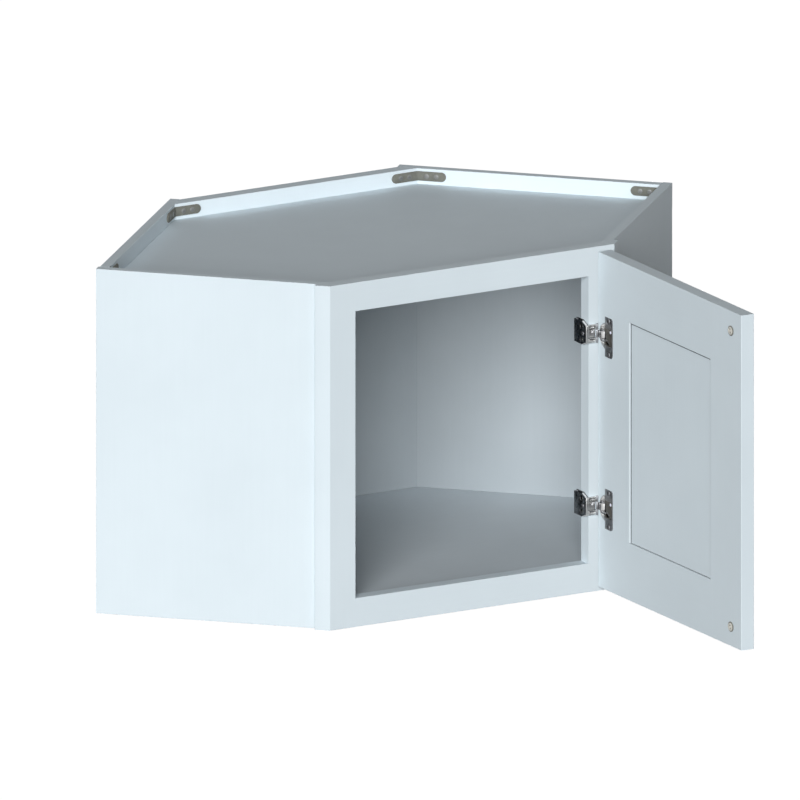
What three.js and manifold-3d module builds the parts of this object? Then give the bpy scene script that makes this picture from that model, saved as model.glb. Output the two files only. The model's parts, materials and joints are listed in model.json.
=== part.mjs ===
// Corner wall cabinet: a diagonal-front kitchen wall unit with a clipped rear corner, a framed front and one
// recessed-panel door on two concealed hinges, standing open. Millimetres, +Z up.
// The origin is the middle of the corner panel's rear face. +Y points from there into the corner of the room,
// and the front faces -Y.
import * as THREE from "three";
import { mergeVertices } from "three/addons/utils/BufferGeometryUtils.js";
import Module from "manifold-3d";

// ---- Clearances -----------------------------------------------------------------------------------------

const FIT = 0.3; // between slanted panels, in grooves and round screws
const TIGHT_FIT = 0.15; // at the glued shoulders of the face frame and the door

// ---- Carcase --------------------------------------------------------------------------------------------

const HEIGHT = 457.2;
const END_REACH = 603.5; // room corner to an end panel's outer face, along the wall
const END_DEPTH = 292.192; // wall to the outer front corner of an end panel
const SHEET = 12.7; // end, back, top and bottom panels
const BACK_SETBACK = 1.8; // wall to a back panel's rear face
const BACK_OVERRUN = 0.5; // how far a back panel's free end runs past the corner panel
const CORNER_DEPTH = 181.9; // room corner to the corner panel's rear face, square to it
const CORNER_SHEET = 18.5;
const DECK_RECESS = 21.1; // rim to the top panel's upper face, and the same below the bottom panel
const DECK_SEAT = 5; // how far the top and bottom panels reach into their grooves

// ---- Face frame -----------------------------------------------------------------------------------------

const FRAME_THICKNESS = 19.05;
const FRAME_OVERHANG = 6.7; // how far a stile's bevelled edge stands out past the end panel
const STILE_WIDTH = 38.1;
const RAIL_HEIGHT = 38.1;
const TENON_LENGTH = 9.5;
const TENON_THICKNESS = 6.35;
const TENON_SHOULDER = 6; // a tenon is lower than its rail by this much at each edge

// ---- Door -----------------------------------------------------------------------------------------------

const DOOR_OPENING = 90; // degrees from closed, as the model stands
const DOOR_THICKNESS = 19.05;
const DOOR_OVERLAY = 10.9; // how far the closed door covers each stile
const DOOR_REVEAL = 6.15; // rim to the door's top edge, and the same at the bottom
const DOOR_STANDOFF = 3; // closed door's inner face to the frame
const DOOR_STILE = 79.4; // width of the door's stiles
const DOOR_RAIL = 76.2; // height of the door's rails
const DOOR_PANEL_THICKNESS = 6.4;
const DOOR_PANEL_SETBACK = 3.2; // door's inner face to its panel
const DOOR_GROOVE = 9.5; // how far the panel and the rails' tongues reach into their grooves
const BUMPER_RADIUS = 6.35;
const BUMPER_HEIGHT = 2.4;
const BUMPER_INSET = 26; // its centre to the door's edges

// ---- Corner brackets ------------------------------------------------------------------------------------

const BRACKET_ARM = 38.1;
const BRACKET_WIDTH = 12.2;
const BRACKET_STEEL = 1.8;
const BRACKET_DROP = 3.7; // rim to the bracket's nearer edge
const BRACKET_SCREWS = [12.7, 25.4]; // distances from the bend
const SCREW_HEAD_RADIUS = 3.9;
const SCREW_HEAD_HEIGHT = 1.5;
const SUNK_HEAD_RISE = 0.5; // how far a countersunk head stands up from the bracket
const SCREW_RADIUS = 1.7;
const SCREW_BITE = 9; // how far a screw reaches into the wood

// ---- Hinges ---------------------------------------------------------------------------------------------

const HINGE_INSET = 114.3; // rim to the hinge's centre
const PIVOT_BEYOND_DOOR = 0.7; // closed door's hinge edge to the pivot
const PIVOT_BEFORE_FRAME = 1.6; // frame's front face to the pivot
const PIN_RADIUS = 0.7;
const PIN_CLEARANCE = 0.1;
const PIN_HEAD = 0.6; // height of the heads that keep the pin in
const KNUCKLE_WALL = 0.4;
const CHANNEL_STEEL = 1.2;
const CHANNEL_WIDTH = 4.7; // over both cheeks
const CHANNEL_HEIGHT = 30.4;
const CHANNEL_REAR = 28.7; // frame's front face to the channel's rear
const CHANNEL_NOSE = 1.2; // how far the near cheek stands out in front of the frame
const CHANNEL_CHAMFER_LENGTH = 11;
const CHANNEL_CHAMFER_RISE = 4.5;
const ACCESS_RADIUS = 4.2; // holes in the near cheek for the driver
const JAMB_SCREW_DEPTH = 9.5; // frame's front face to the jamb screws
const JAMB_SCREW_RISE = 9; // hinge's centre to each jamb screw
const CAM_DEPTH = 6; // frame's front face to the cam screw
const CAM_HEAD_RADIUS = 3;
const CAM_RADIUS = 2;
const STRAP_HEIGHT = 24.4; // the bright strap that carries the knuckles
const STRAP_REACH = 9.5; // jamb to the strap's outer end
const STRAP_STANDOFF = 0.2;
const STRAP_DEPTH = 2.5;
const STRAP_WEB = 1.1; // steel left behind the strap's recess
const STRAP_RECESS = 11; // height of that recess
const TONGUE_LENGTH = 14; // how far the strap reaches back into the channel
const TONGUE_HEIGHT = 10;
const LEAF_STEEL = 1.2;
const LEAF_HEIGHT = 9.6;
const LEAF_STANDOFF = 0.2; // leaf to the door's inner face
const LEAF_DROP = 6; // pivot to where the leaf turns into the cup
const LEAF_FOOT = 8; // length of the leaf's foot on the cup's floor
const CUP_RADIUS = 17.5;
const CUP_WALL = 1;
const CUP_DEPTH = 12;
const CUP_SINK = 0.2; // door's inner face to the cup's rim
const CUP_INSET = 20; // door's hinge edge to the cup's centre
const FLANGE_INSET = 28.8; // door's hinge edge to the flange's middle
const FLANGE_WIDTH = 19;
const FLANGE_HEIGHT = 53;
const FLANGE_STEEL = 1.2;
const FLANGE_CORNER = 5;
const FLANGE_SCREW_RISE = 22.5;
const DAMPER_INSET = 12.5; // door's hinge edge to the damper housing
const DAMPER_WIDTH = 17;
const DAMPER_HEIGHT = 18;
const DAMPER_DEPTH = 8.5; // how far the housing stands up from the cup's floor
const DAMPER_SLOT = 10.4; // height of the slot for the leaf's foot and the spring
const DAMPER_SLOT_WIDTH = 11;
const SPRING_STEEL = 0.8;
const SPRING_HEIGHT = 7;
const SPRING_RISE = 4; // how far the spring stands up from the cup's floor
const SPRING_BASE = 3;
const SPRING_REACH = 8; // length of the spring's free arm

const ROUND_SIDES = 16;
const SCREW_SIDES = 8;
const CUP_SIDES = 32;

// ---- Finishes -------------------------------------------------------------------------------------------

const FINISHES = {
  paint: { color: 0xe8eced, roughness: 0.45, metalness: 0 },
  zinc: { color: 0x86877e, roughness: 0.45, metalness: 0.9 },
  nickel: { color: 0xb9bcbe, roughness: 0.3, metalness: 1 },
  gunmetal: { color: 0x3f4247, roughness: 0.4, metalness: 0.9 },
  screw: { color: 0x9a9b98, roughness: 0.35, metalness: 1 },
  damper: { color: 0x2a2b2d, roughness: 0.5, metalness: 0 },
  soft: { color: 0xdfe3e4, roughness: 0.3, metalness: 0 },
};

// ---- Solids ---------------------------------------------------------------------------------------------

const wasm = await Module();
wasm.setup();

const X = new THREE.Vector3(1, 0, 0);
const Y = new THREE.Vector3(0, 1, 0);
const Z = new THREE.Vector3(0, 0, 1);

function solid(geometry) {
  geometry.deleteAttribute("normal");
  geometry.deleteAttribute("uv");
  const merged = mergeVertices(geometry);
  return new wasm.Manifold(
    new wasm.Mesh({
      numProp: 3,
      vertProperties: merged.attributes.position.array,
      triVerts: new Uint32Array(merged.index.array),
    }),
  );
}

const toVector = ([a, b]) => new THREE.Vector2(a, b);

// A plate cut to an outline. The outline's two directions are across and up, and its thickness grows from the
// origin along across x up.
function slab(outline, origin, across, up, thickness) {
  const shape = outline instanceof THREE.Shape ? outline : new THREE.Shape(outline.map(toVector));
  const geometry = new THREE.ExtrudeGeometry(shape, {
    depth: thickness,
    bevelEnabled: false,
    curveSegments: ROUND_SIDES / 2,
  });
  const outward = new THREE.Vector3().crossVectors(across, up);
  const place = new THREE.Matrix4().makeBasis(across, up, outward).setPosition(origin);
  return solid(geometry.applyMatrix4(place));
}

// An upright prism over a plan outline.
function prism(outline, bottom, top) {
  return slab(outline, new THREE.Vector3(0, 0, bottom), X, Y, top - bottom);
}

function block(low, high) {
  const geometry = new THREE.BoxGeometry(high[0] - low[0], high[1] - low[1], high[2] - low[2]);
  geometry.translate((low[0] + high[0]) / 2, (low[1] + high[1]) / 2, (low[2] + high[2]) / 2);
  return solid(geometry);
}

// A round bar from one point to another.
function bar(start, end, radius, sides = ROUND_SIDES) {
  const span = new THREE.Vector3().subVectors(end, start);
  const geometry = new THREE.CylinderGeometry(radius, radius, span.length(), sides);
  const middle = new THREE.Vector3().addVectors(start, end).multiplyScalar(0.5);
  const turn = new THREE.Quaternion().setFromUnitVectors(Y, span.normalize());
  geometry.applyQuaternion(turn);
  geometry.translate(middle.x, middle.y, middle.z);
  return solid(geometry);
}

// A bent strip of even thickness that follows a line of plan points, between two heights.
function strip(points, thickness, bottom, top) {
  const half = thickness / 2;
  const line = points.map(([x, y]) => new THREE.Vector2(x, y));
  const normals = line.slice(1).map((p, i) => {
    const run = p.clone().sub(line[i]).normalize();
    return new THREE.Vector2(-run.y, run.x);
  });
  const offsets = line.map((p, i) => {
    const before = normals[Math.max(i - 1, 0)];
    const after = normals[Math.min(i, normals.length - 1)];
    return before.clone().add(after).divideScalar(1 + before.dot(after)).multiplyScalar(half);
  });
  const one = line.map((p, i) => p.clone().add(offsets[i]).toArray());
  const other = line.map((p, i) => p.clone().sub(offsets[i]).toArray());
  return prism([...one, ...other.reverse()], bottom, top);
}

function cutAll(body, cutters) {
  return cutters.reduce((rest, cutter) => rest.subtract(cutter), body);
}

function joinAll(bodies) {
  return bodies.reduce((whole, body) => whole.add(body));
}

// Adds one named piece to a group.
function piece(group, name, body, finish) {
  const cut = body.getMesh();
  const geometry = new THREE.BufferGeometry();
  geometry.setAttribute("position", new THREE.BufferAttribute(new Float32Array(cut.vertProperties), 3));
  geometry.setIndex(new THREE.BufferAttribute(new Uint32Array(cut.triVerts), 1));
  const faceted = geometry.toNonIndexed();
  faceted.computeVertexNormals();
  const mesh = new THREE.Mesh(faceted, new THREE.MeshStandardMaterial(FINISHES[finish]));
  mesh.name = name;
  group.add(mesh);
}

// ---- Plan of the carcase --------------------------------------------------------------------------------

const ROOT2 = Math.SQRT2;
const LEFT = -1;
const RIGHT = 1;
const SIDES = [["left", LEFT], ["right", RIGHT]];

// A plan point by its distance along one wall from the room corner, and its distance off that wall.
const wallPoint = (side, along, off) => [
  (side * (along - off)) / ROOT2,
  CORNER_DEPTH - (along + off) / ROOT2,
];
// How far along a wall a plane square to the diagonal crosses a line that runs at a distance off the wall.
const alongAt = (depth, off) => depth * ROOT2 - off;

const BOTTOM_RIM = -HEIGHT / 2;
const TOP_RIM = HEIGHT / 2;
const END_INNER = END_REACH - SHEET;
const BACK_INNER = BACK_SETBACK + SHEET;
const CORNER_INNER = CORNER_DEPTH + CORNER_SHEET;
// How far the face frame's back and front lie from the room corner, square to them.
const FRAME_BACK = (END_REACH + END_DEPTH) / ROOT2;
const FRAME_DEPTH = FRAME_BACK + FRAME_THICKNESS;
const FRAME_FRONT_Y = CORNER_DEPTH - FRAME_DEPTH;
const FRAME_BACK_Y = CORNER_DEPTH - FRAME_BACK;

// The six-sided outline whose sides lie at a distance outside the carcase's inner faces.
function innerOutline(outside) {
  const end = END_INNER + outside;
  const back = BACK_INNER - outside;
  const half = (side) => [
    wallPoint(side, end, alongAt(FRAME_BACK + outside, end)),
    wallPoint(side, end, back),
    wallPoint(side, alongAt(CORNER_INNER - outside, back), back),
  ];
  return [...half(LEFT), ...half(RIGHT).reverse()];
}

const DECKS = [
  ["bottom_panel", BOTTOM_RIM + DECK_RECESS],
  ["top_panel", TOP_RIM - DECK_RECESS - SHEET],
];
const deckGrooves = DECKS.map(([, base]) =>
  prism(innerOutline(DECK_SEAT + FIT), base - FIT, base + SHEET + FIT),
);

// ---- Corner brackets ------------------------------------------------------------------------------------

// A bent strip on two inner faces that meet at a plan corner, with its four screws. Each arm is the direction
// in which its face leaves the corner.
function bracket([x, y], arms, level) {
  const corner = new THREE.Vector3(x, y, level);
  const inward = arms.map((arm, i) => {
    const other = arms[1 - i];
    return other.clone().addScaledVector(arm, -arm.dot(other)).normalize();
  });
  const lift = FIT / (1 + inward[0].dot(inward[1]));
  const bend = corner.clone().addScaledVector(inward[0], lift).addScaledVector(inward[1], lift);
  const half = BRACKET_WIDTH / 2;
  const outline = new THREE.Shape();
  outline.moveTo(0, -half);
  outline.lineTo(BRACKET_ARM - half, -half);
  outline.absarc(BRACKET_ARM - half, 0, half, -Math.PI / 2, Math.PI / 2, false);
  outline.lineTo(0, half);
  const steel = [];
  const pilots = [];
  arms.forEach((arm, i) => {
    const inner = inward[i];
    const turned = new THREE.Vector3().crossVectors(arm, Z).dot(inner) < 0;
    const start = turned ? bend.clone().addScaledVector(inner, BRACKET_STEEL) : bend;
    steel.push(slab(outline, start, arm, Z, BRACKET_STEEL));
    BRACKET_SCREWS.forEach((distance) => {
      const at = (height) => bend.clone().addScaledVector(arm, distance).addScaledVector(inner, height);
      const neck = BRACKET_STEEL / 2;
      const tip = -FIT - SCREW_BITE;
      steel.push(bar(at(neck), at(BRACKET_STEEL + SUNK_HEAD_RISE), SCREW_HEAD_RADIUS, SCREW_SIDES));
      steel.push(bar(at(tip), at(neck), SCREW_RADIUS, SCREW_SIDES));
      pilots.push(bar(at(tip - FIT), at(0), SCREW_RADIUS + FIT, SCREW_SIDES));
    });
  });
  return { body: joinAll(steel), pilots };
}

const bracketLevel = TOP_RIM - BRACKET_DROP - BRACKET_WIDTH / 2;
const brackets = SIDES.flatMap(([sideName, side]) => {
  const outwards = new THREE.Vector3(side, -1, 0).normalize(); // along the wall, away from the room corner
  const inwards = outwards.clone().negate();
  const forwards = new THREE.Vector3(-side, -1, 0).normalize(); // off the wall
  const acrossCorner = new THREE.Vector3(-side, 0, 0);
  const endCorner = wallPoint(side, END_INNER, BACK_INNER);
  const clipCorner = wallPoint(side, alongAt(CORNER_INNER, BACK_INNER), BACK_INNER);
  const corners = [["end", endCorner, [inwards, forwards]], ["corner", clipCorner, [outwards, acrossCorner]]];
  return [["bottom", -bracketLevel], ["top", bracketLevel]].flatMap(([levelName, level]) =>
    corners.map(([cornerName, point, arms]) => ({
      name: `${sideName}_${cornerName}_bracket_${levelName}`,
      ...bracket(point, arms, level),
    })),
  );
});
const bracketPilots = brackets.flatMap(({ pilots }) => pilots);

// ---- Carcase pieces -------------------------------------------------------------------------------------

const cabinet = new THREE.Group();
const carcaseCuts = [...deckGrooves, ...bracketPilots];

for (const [sideName, side] of SIDES) {
  const frontFit = FRAME_BACK - FIT;
  const endOutline = [
    wallPoint(side, END_REACH, 0),
    wallPoint(side, END_INNER, 0),
    wallPoint(side, END_INNER, alongAt(frontFit, END_INNER)),
    wallPoint(side, END_REACH, alongAt(frontFit, END_REACH)),
  ];
  const endPanel = cutAll(prism(endOutline, BOTTOM_RIM, TOP_RIM), carcaseCuts);
  piece(cabinet, `${sideName}_end_panel`, endPanel, "paint");

  const freeEnd = alongAt(CORNER_DEPTH, BACK_INNER) - BACK_OVERRUN;
  const backOutline = [
    wallPoint(side, freeEnd, BACK_SETBACK),
    wallPoint(side, END_INNER - FIT, BACK_SETBACK),
    wallPoint(side, END_INNER - FIT, BACK_INNER),
    wallPoint(side, freeEnd, BACK_INNER),
  ];
  const backPanel = cutAll(prism(backOutline, BOTTOM_RIM, TOP_RIM), carcaseCuts);
  piece(cabinet, `${sideName}_back_panel`, backPanel, "paint");
}

const cornerEdge = BACK_INNER + FIT;
const cornerOutline = [
  wallPoint(LEFT, alongAt(CORNER_DEPTH, cornerEdge), cornerEdge),
  wallPoint(LEFT, alongAt(CORNER_INNER, cornerEdge), cornerEdge),
  wallPoint(RIGHT, alongAt(CORNER_INNER, cornerEdge), cornerEdge),
  wallPoint(RIGHT, alongAt(CORNER_DEPTH, cornerEdge), cornerEdge),
];
piece(cabinet, "corner_back_panel", cutAll(prism(cornerOutline, BOTTOM_RIM, TOP_RIM), carcaseCuts), "paint");

for (const [name, base] of DECKS) {
  piece(cabinet, name, prism(innerOutline(DECK_SEAT), base, base + SHEET), "paint");
}

for (const { name, body } of brackets) {
  piece(cabinet, name, body, "zinc");
}

// ---- Face frame pieces ----------------------------------------------------------------------------------

const FRAME_EDGE = END_REACH + FRAME_OVERHANG;
const FACE_HALF = wallPoint(RIGHT, FRAME_EDGE, alongAt(FRAME_DEPTH, FRAME_EDGE))[0];
const JAMB = FACE_HALF - STILE_WIDTH;
const TENON_FRONT_Y = FRAME_FRONT_Y + (FRAME_THICKNESS - TENON_THICKNESS) / 2;

// A rail's body, and its two tenons grown by a fit, so that the same shape cuts their mortises.
const railBody = (base) =>
  block([-JAMB + TIGHT_FIT, FRAME_FRONT_Y, base], [JAMB - TIGHT_FIT, FRAME_BACK_Y, base + RAIL_HEIGHT]);
function railTenons(base, fit) {
  const reach = JAMB + TENON_LENGTH + fit;
  const back = TENON_FRONT_Y + TENON_THICKNESS + fit;
  const edge = TENON_SHOULDER - fit;
  return block([-reach, TENON_FRONT_Y - fit, base + edge], [reach, back, base + RAIL_HEIGHT - edge]);
}
const RAILS = [["bottom_rail", BOTTOM_RIM], ["top_rail", TOP_RIM - RAIL_HEIGHT]];
const mortises = RAILS.map(([, base]) => railTenons(base, FIT));

const hingeLevels = [["lower", BOTTOM_RIM + HINGE_INSET], ["upper", TOP_RIM - HINGE_INSET]];
const jambScrewPoints = hingeLevels.flatMap(([, level]) =>
  [-JAMB_SCREW_RISE, JAMB_SCREW_RISE].map((rise) => [JAMB, FRAME_FRONT_Y + JAMB_SCREW_DEPTH, level + rise]),
);
const jambPilots = jambScrewPoints.map(([x, y, z]) =>
  bar(
    new THREE.Vector3(x - FIT, y, z),
    new THREE.Vector3(x + SCREW_BITE + FIT, y, z),
    SCREW_RADIUS + FIT,
    SCREW_SIDES,
  ),
);

for (const [sideName, side] of SIDES) {
  const stileOutline = [
    [side * JAMB, FRAME_FRONT_Y],
    [side * JAMB, FRAME_BACK_Y],
    wallPoint(side, END_REACH, alongAt(FRAME_BACK, END_REACH)),
    wallPoint(side, FRAME_EDGE, alongAt(FRAME_BACK, END_REACH)),
    wallPoint(side, FRAME_EDGE, alongAt(FRAME_DEPTH, FRAME_EDGE)),
  ];
  const cuts = [...deckGrooves, ...mortises, ...(side === RIGHT ? jambPilots : [])];
  piece(cabinet, `${sideName}_stile`, cutAll(prism(stileOutline, BOTTOM_RIM, TOP_RIM), cuts), "paint");
}

for (const [name, base] of RAILS) {
  piece(cabinet, name, cutAll(railBody(base).add(railTenons(base, 0)), deckGrooves), "paint");
}

// ---- Hinge pieces on the jamb ---------------------------------------------------------------------------

// In these groups x runs away from the opening from the jamb's face, y runs back from the frame's front face,
// and z is counted from the hinge's centre.
const PIVOT_X = DOOR_OVERLAY + PIVOT_BEYOND_DOOR;
const PIVOT_Y = -PIVOT_BEFORE_FRAME;
const KNUCKLE_RADIUS = PIN_RADIUS + PIN_CLEARANCE + KNUCKLE_WALL;
const NEAR_CHEEK = -FIT - CHANNEL_WIDTH;
const FAR_CHEEK = -FIT - CHANNEL_STEEL;
const STRAP_INNER = NEAR_CHEEK + CHANNEL_STEEL + FIT;
const TONGUE_X = (NEAR_CHEEK + CHANNEL_STEEL + FAR_CHEEK) / 2;

const pivotBar = (radius, bottom, top) =>
  bar(new THREE.Vector3(PIVOT_X, PIVOT_Y, bottom), new THREE.Vector3(PIVOT_X, PIVOT_Y, top), radius);
const barAcross = (from, to, y, z, radius, sides) =>
  bar(new THREE.Vector3(from, y, z), new THREE.Vector3(to, y, z), radius, sides);

// Each cheek is a plate with its two front corners cut away.
function baseChannel() {
  const half = CHANNEL_HEIGHT / 2;
  const cheek = (nose, x) => {
    const outline = [
      [CHANNEL_REAR, -half],
      [CHANNEL_REAR, half],
      [nose + CHANNEL_CHAMFER_LENGTH, half],
      [nose, half - CHANNEL_CHAMFER_RISE],
      [nose, CHANNEL_CHAMFER_RISE - half],
      [nose + CHANNEL_CHAMFER_LENGTH, -half],
    ];
    return slab(outline, new THREE.Vector3(x, 0, 0), Y, Z, CHANNEL_STEEL);
  };
  const near = cheek(-CHANNEL_NOSE, NEAR_CHEEK);
  const far = cheek(FIT, FAR_CHEEK);
  const web = block([NEAR_CHEEK, CHANNEL_REAR - CHANNEL_STEEL, -half], [-FIT, CHANNEL_REAR, half]);
  const holes = [-JAMB_SCREW_RISE, JAMB_SCREW_RISE].flatMap((rise) => [
    barAcross(NEAR_CHEEK - FIT, TONGUE_X, JAMB_SCREW_DEPTH, rise, ACCESS_RADIUS),
    barAcross(TONGUE_X, 0, JAMB_SCREW_DEPTH, rise, SCREW_RADIUS + FIT, SCREW_SIDES),
  ]);
  const camHole = barAcross(NEAR_CHEEK - FIT, TONGUE_X, CAM_DEPTH, 0, CAM_RADIUS + FIT);
  return cutAll(joinAll([near, far, web]), [...holes, camHole]);
}

function strap() {
  const half = STRAP_HEIGHT / 2;
  const front = -STRAP_STANDOFF - STRAP_DEPTH;
  const plate = block([STRAP_INNER, front, -half], [STRAP_REACH, -STRAP_STANDOFF, half]);
  const lip = block([NEAR_CHEEK, front, -half], [STRAP_INNER, -CHANNEL_NOSE - FIT, half]);
  const bridge = block(
    [STRAP_REACH - STRAP_WEB, PIVOT_Y - PIN_RADIUS, -half],
    [PIVOT_X, PIVOT_Y + PIN_RADIUS, half],
  );
  const recess = block(
    [STRAP_INNER, front - FIT, -STRAP_RECESS / 2],
    [PIVOT_X + KNUCKLE_RADIUS + FIT, -STRAP_STANDOFF - STRAP_WEB, STRAP_RECESS / 2],
  );
  const gap = block(
    [STRAP_REACH, front - FIT, -STRAP_RECESS / 2],
    [PIVOT_X + KNUCKLE_RADIUS + FIT, FIT, STRAP_RECESS / 2],
  );
  const tongue = block(
    [TONGUE_X - STRAP_WEB / 2, -STRAP_STANDOFF - STRAP_WEB, -TONGUE_HEIGHT / 2],
    [TONGUE_X + STRAP_WEB / 2, TONGUE_LENGTH, TONGUE_HEIGHT / 2],
  );
  const camHole = barAcross(TONGUE_X - STRAP_WEB, TONGUE_X + STRAP_WEB, CAM_DEPTH, 0, CAM_RADIUS + FIT);
  const whole = joinAll([plate, lip, bridge, pivotBar(KNUCKLE_RADIUS, -half, half)]);
  const bore = pivotBar(PIN_RADIUS + PIN_CLEARANCE, -half - FIT, half + FIT);
  return cutAll(whole, [recess, gap, bore]).add(tongue).subtract(camHole);
}

function pin() {
  const half = STRAP_HEIGHT / 2 + TIGHT_FIT;
  return joinAll([
    pivotBar(PIN_RADIUS, -half - PIN_HEAD / 2, half + PIN_HEAD / 2),
    pivotBar(KNUCKLE_RADIUS, -half - PIN_HEAD, -half),
    pivotBar(KNUCKLE_RADIUS, half, half + PIN_HEAD),
  ]);
}

function camScrew() {
  const face = NEAR_CHEEK - TIGHT_FIT;
  return joinAll([
    barAcross(face - SCREW_HEAD_HEIGHT, face, CAM_DEPTH, 0, CAM_HEAD_RADIUS),
    barAcross(face - SCREW_HEAD_HEIGHT / 2, TONGUE_X + STRAP_WEB, CAM_DEPTH, 0, CAM_RADIUS),
  ]);
}

function jambScrew(rise) {
  const face = FAR_CHEEK - TIGHT_FIT;
  return joinAll([
    barAcross(face - SCREW_HEAD_HEIGHT, face, JAMB_SCREW_DEPTH, rise, SCREW_HEAD_RADIUS, SCREW_SIDES),
    barAcross(face - SCREW_HEAD_HEIGHT / 2, SCREW_BITE, JAMB_SCREW_DEPTH, rise, SCREW_RADIUS, SCREW_SIDES),
  ]);
}

for (const [levelName, level] of hingeLevels) {
  const base = new THREE.Group();
  base.position.set(JAMB, FRAME_FRONT_Y, level);
  cabinet.add(base);
  piece(base, `${levelName}_hinge_channel`, baseChannel(), "gunmetal");
  piece(base, `${levelName}_hinge_strap`, strap(), "nickel");
  piece(base, `${levelName}_hinge_pin`, pin(), "nickel");
  piece(base, `${levelName}_hinge_cam_screw`, camScrew(), "screw");
  piece(base, `${levelName}_jamb_screw_low`, jambScrew(-JAMB_SCREW_RISE), "screw");
  piece(base, `${levelName}_jamb_screw_high`, jambScrew(JAMB_SCREW_RISE), "screw");
}

// ---- Door pieces ----------------------------------------------------------------------------------------

// The door's own frame has its origin on the pivot: x runs from there to the free edge, y from the inner face
// to the outer face, and z is counted from the door's middle.
const DOOR_HINGE_EDGE = PIVOT_BEYOND_DOOR;
const DOOR_WIDTH = 2 * (JAMB + DOOR_OVERLAY);
const DOOR_FREE_EDGE = DOOR_HINGE_EDGE + DOOR_WIDTH;
const DOOR_HALF = TOP_RIM - DOOR_REVEAL;
const DOOR_INNER = DOOR_STANDOFF - PIVOT_BEFORE_FRAME;
const DOOR_OUTER = DOOR_INNER + DOOR_THICKNESS;
const DOOR_PANEL_INNER = DOOR_INNER + DOOR_PANEL_SETBACK;
const CUP_X = DOOR_HINGE_EDGE + CUP_INSET;
const CUP_RIM = DOOR_INNER + CUP_SINK;
const CUP_BACK = CUP_RIM + CUP_DEPTH;
const CUP_FLOOR = CUP_BACK - CUP_WALL;
const FLANGE_X = DOOR_HINGE_EDGE + FLANGE_INSET;
const FLANGE_BACK = DOOR_INNER - LEAF_STANDOFF;
const FLANGE_FACE = FLANGE_BACK - FLANGE_STEEL;

const door = new THREE.Group();
door.position.set(JAMB + PIVOT_X, FRAME_FRONT_Y + PIVOT_Y, 0);
door.rotation.z = THREE.MathUtils.degToRad(180 + DOOR_OPENING);

const cupBar = (level, from, to, radius) =>
  bar(new THREE.Vector3(CUP_X, from, level), new THREE.Vector3(CUP_X, to, level), radius, CUP_SIDES);
const cupScrewBar = (z, from, to, radius) =>
  bar(new THREE.Vector3(FLANGE_X, from, z), new THREE.Vector3(FLANGE_X, to, z), radius, SCREW_SIDES);
const FLANGE_SCREWS = [["low", -FLANGE_SCREW_RISE], ["high", FLANGE_SCREW_RISE]];

// The space between the door's stiles, grown by a fit, from a height to the same height above the middle.
function doorField(fit, half) {
  const reach = DOOR_GROOVE + fit;
  const outer = DOOR_PANEL_INNER + DOOR_PANEL_THICKNESS + fit;
  return block(
    [DOOR_HINGE_EDGE + DOOR_STILE - reach, DOOR_PANEL_INNER - fit, -half],
    [DOOR_FREE_EDGE - DOOR_STILE + reach, outer, half],
  );
}

const doorPanel = (fit) => doorField(fit, DOOR_HALF - DOOR_RAIL + DOOR_GROOVE + fit);

function doorStile(from, to, cuts) {
  const body = block([from, DOOR_INNER, -DOOR_HALF], [to, DOOR_OUTER, DOOR_HALF]);
  return cutAll(body, [doorField(FIT, DOOR_HALF + FIT), ...cuts]);
}

function doorRail(base) {
  const left = DOOR_HINGE_EDGE + DOOR_STILE;
  const right = DOOR_FREE_EDGE - DOOR_STILE;
  const top = base + DOOR_RAIL;
  const body = block([left + TIGHT_FIT, DOOR_INNER, base], [right - TIGHT_FIT, DOOR_OUTER, top]);
  const tongues = block(
    [left - DOOR_GROOVE, DOOR_PANEL_INNER, base],
    [right + DOOR_GROOVE, DOOR_PANEL_INNER + DOOR_PANEL_THICKNESS, top],
  );
  return body.add(tongues).subtract(doorPanel(FIT));
}

const hingeBores = hingeLevels.flatMap(([, level]) => [
  cupBar(level, DOOR_INNER - FIT, CUP_BACK + FIT, CUP_RADIUS + FIT),
  ...FLANGE_SCREWS.map(([, rise]) =>
    cupScrewBar(level + rise, DOOR_INNER - FIT, DOOR_INNER + SCREW_BITE + FIT, SCREW_RADIUS + FIT),
  ),
]);

const hingeStile = doorStile(DOOR_HINGE_EDGE, DOOR_HINGE_EDGE + DOOR_STILE, hingeBores);
const freeStile = doorStile(DOOR_FREE_EDGE - DOOR_STILE, DOOR_FREE_EDGE, []);
piece(door, "door_hinge_stile", hingeStile, "paint");
piece(door, "door_free_stile", freeStile, "paint");
piece(door, "door_bottom_rail", doorRail(-DOOR_HALF), "paint");
piece(door, "door_top_rail", doorRail(DOOR_HALF - DOOR_RAIL), "paint");
piece(door, "door_panel", doorPanel(0), "paint");

// A domed button. Its profile runs from the flat seat over the dome.
function bumper(level) {
  const steps = 5;
  const profile = [new THREE.Vector2(0, 0)];
  for (let i = 0; i <= steps; i += 1) {
    const turn = (i / steps) * (Math.PI / 2);
    profile.push(new THREE.Vector2(BUMPER_RADIUS * Math.cos(turn), BUMPER_HEIGHT * Math.sin(turn)));
  }
  profile[profile.length - 1].x = 0;
  const geometry = new THREE.LatheGeometry(profile, ROUND_SIDES + SCREW_SIDES);
  geometry.rotateX(Math.PI);
  geometry.translate(DOOR_FREE_EDGE - BUMPER_INSET, DOOR_INNER - FIT, level);
  return solid(geometry);
}

piece(door, "lower_bumper", bumper(BUMPER_INSET - DOOR_HALF), "soft");
piece(door, "upper_bumper", bumper(DOOR_HALF - BUMPER_INSET), "soft");

// ---- Hinge pieces on the door ---------------------------------------------------------------------------

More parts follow.
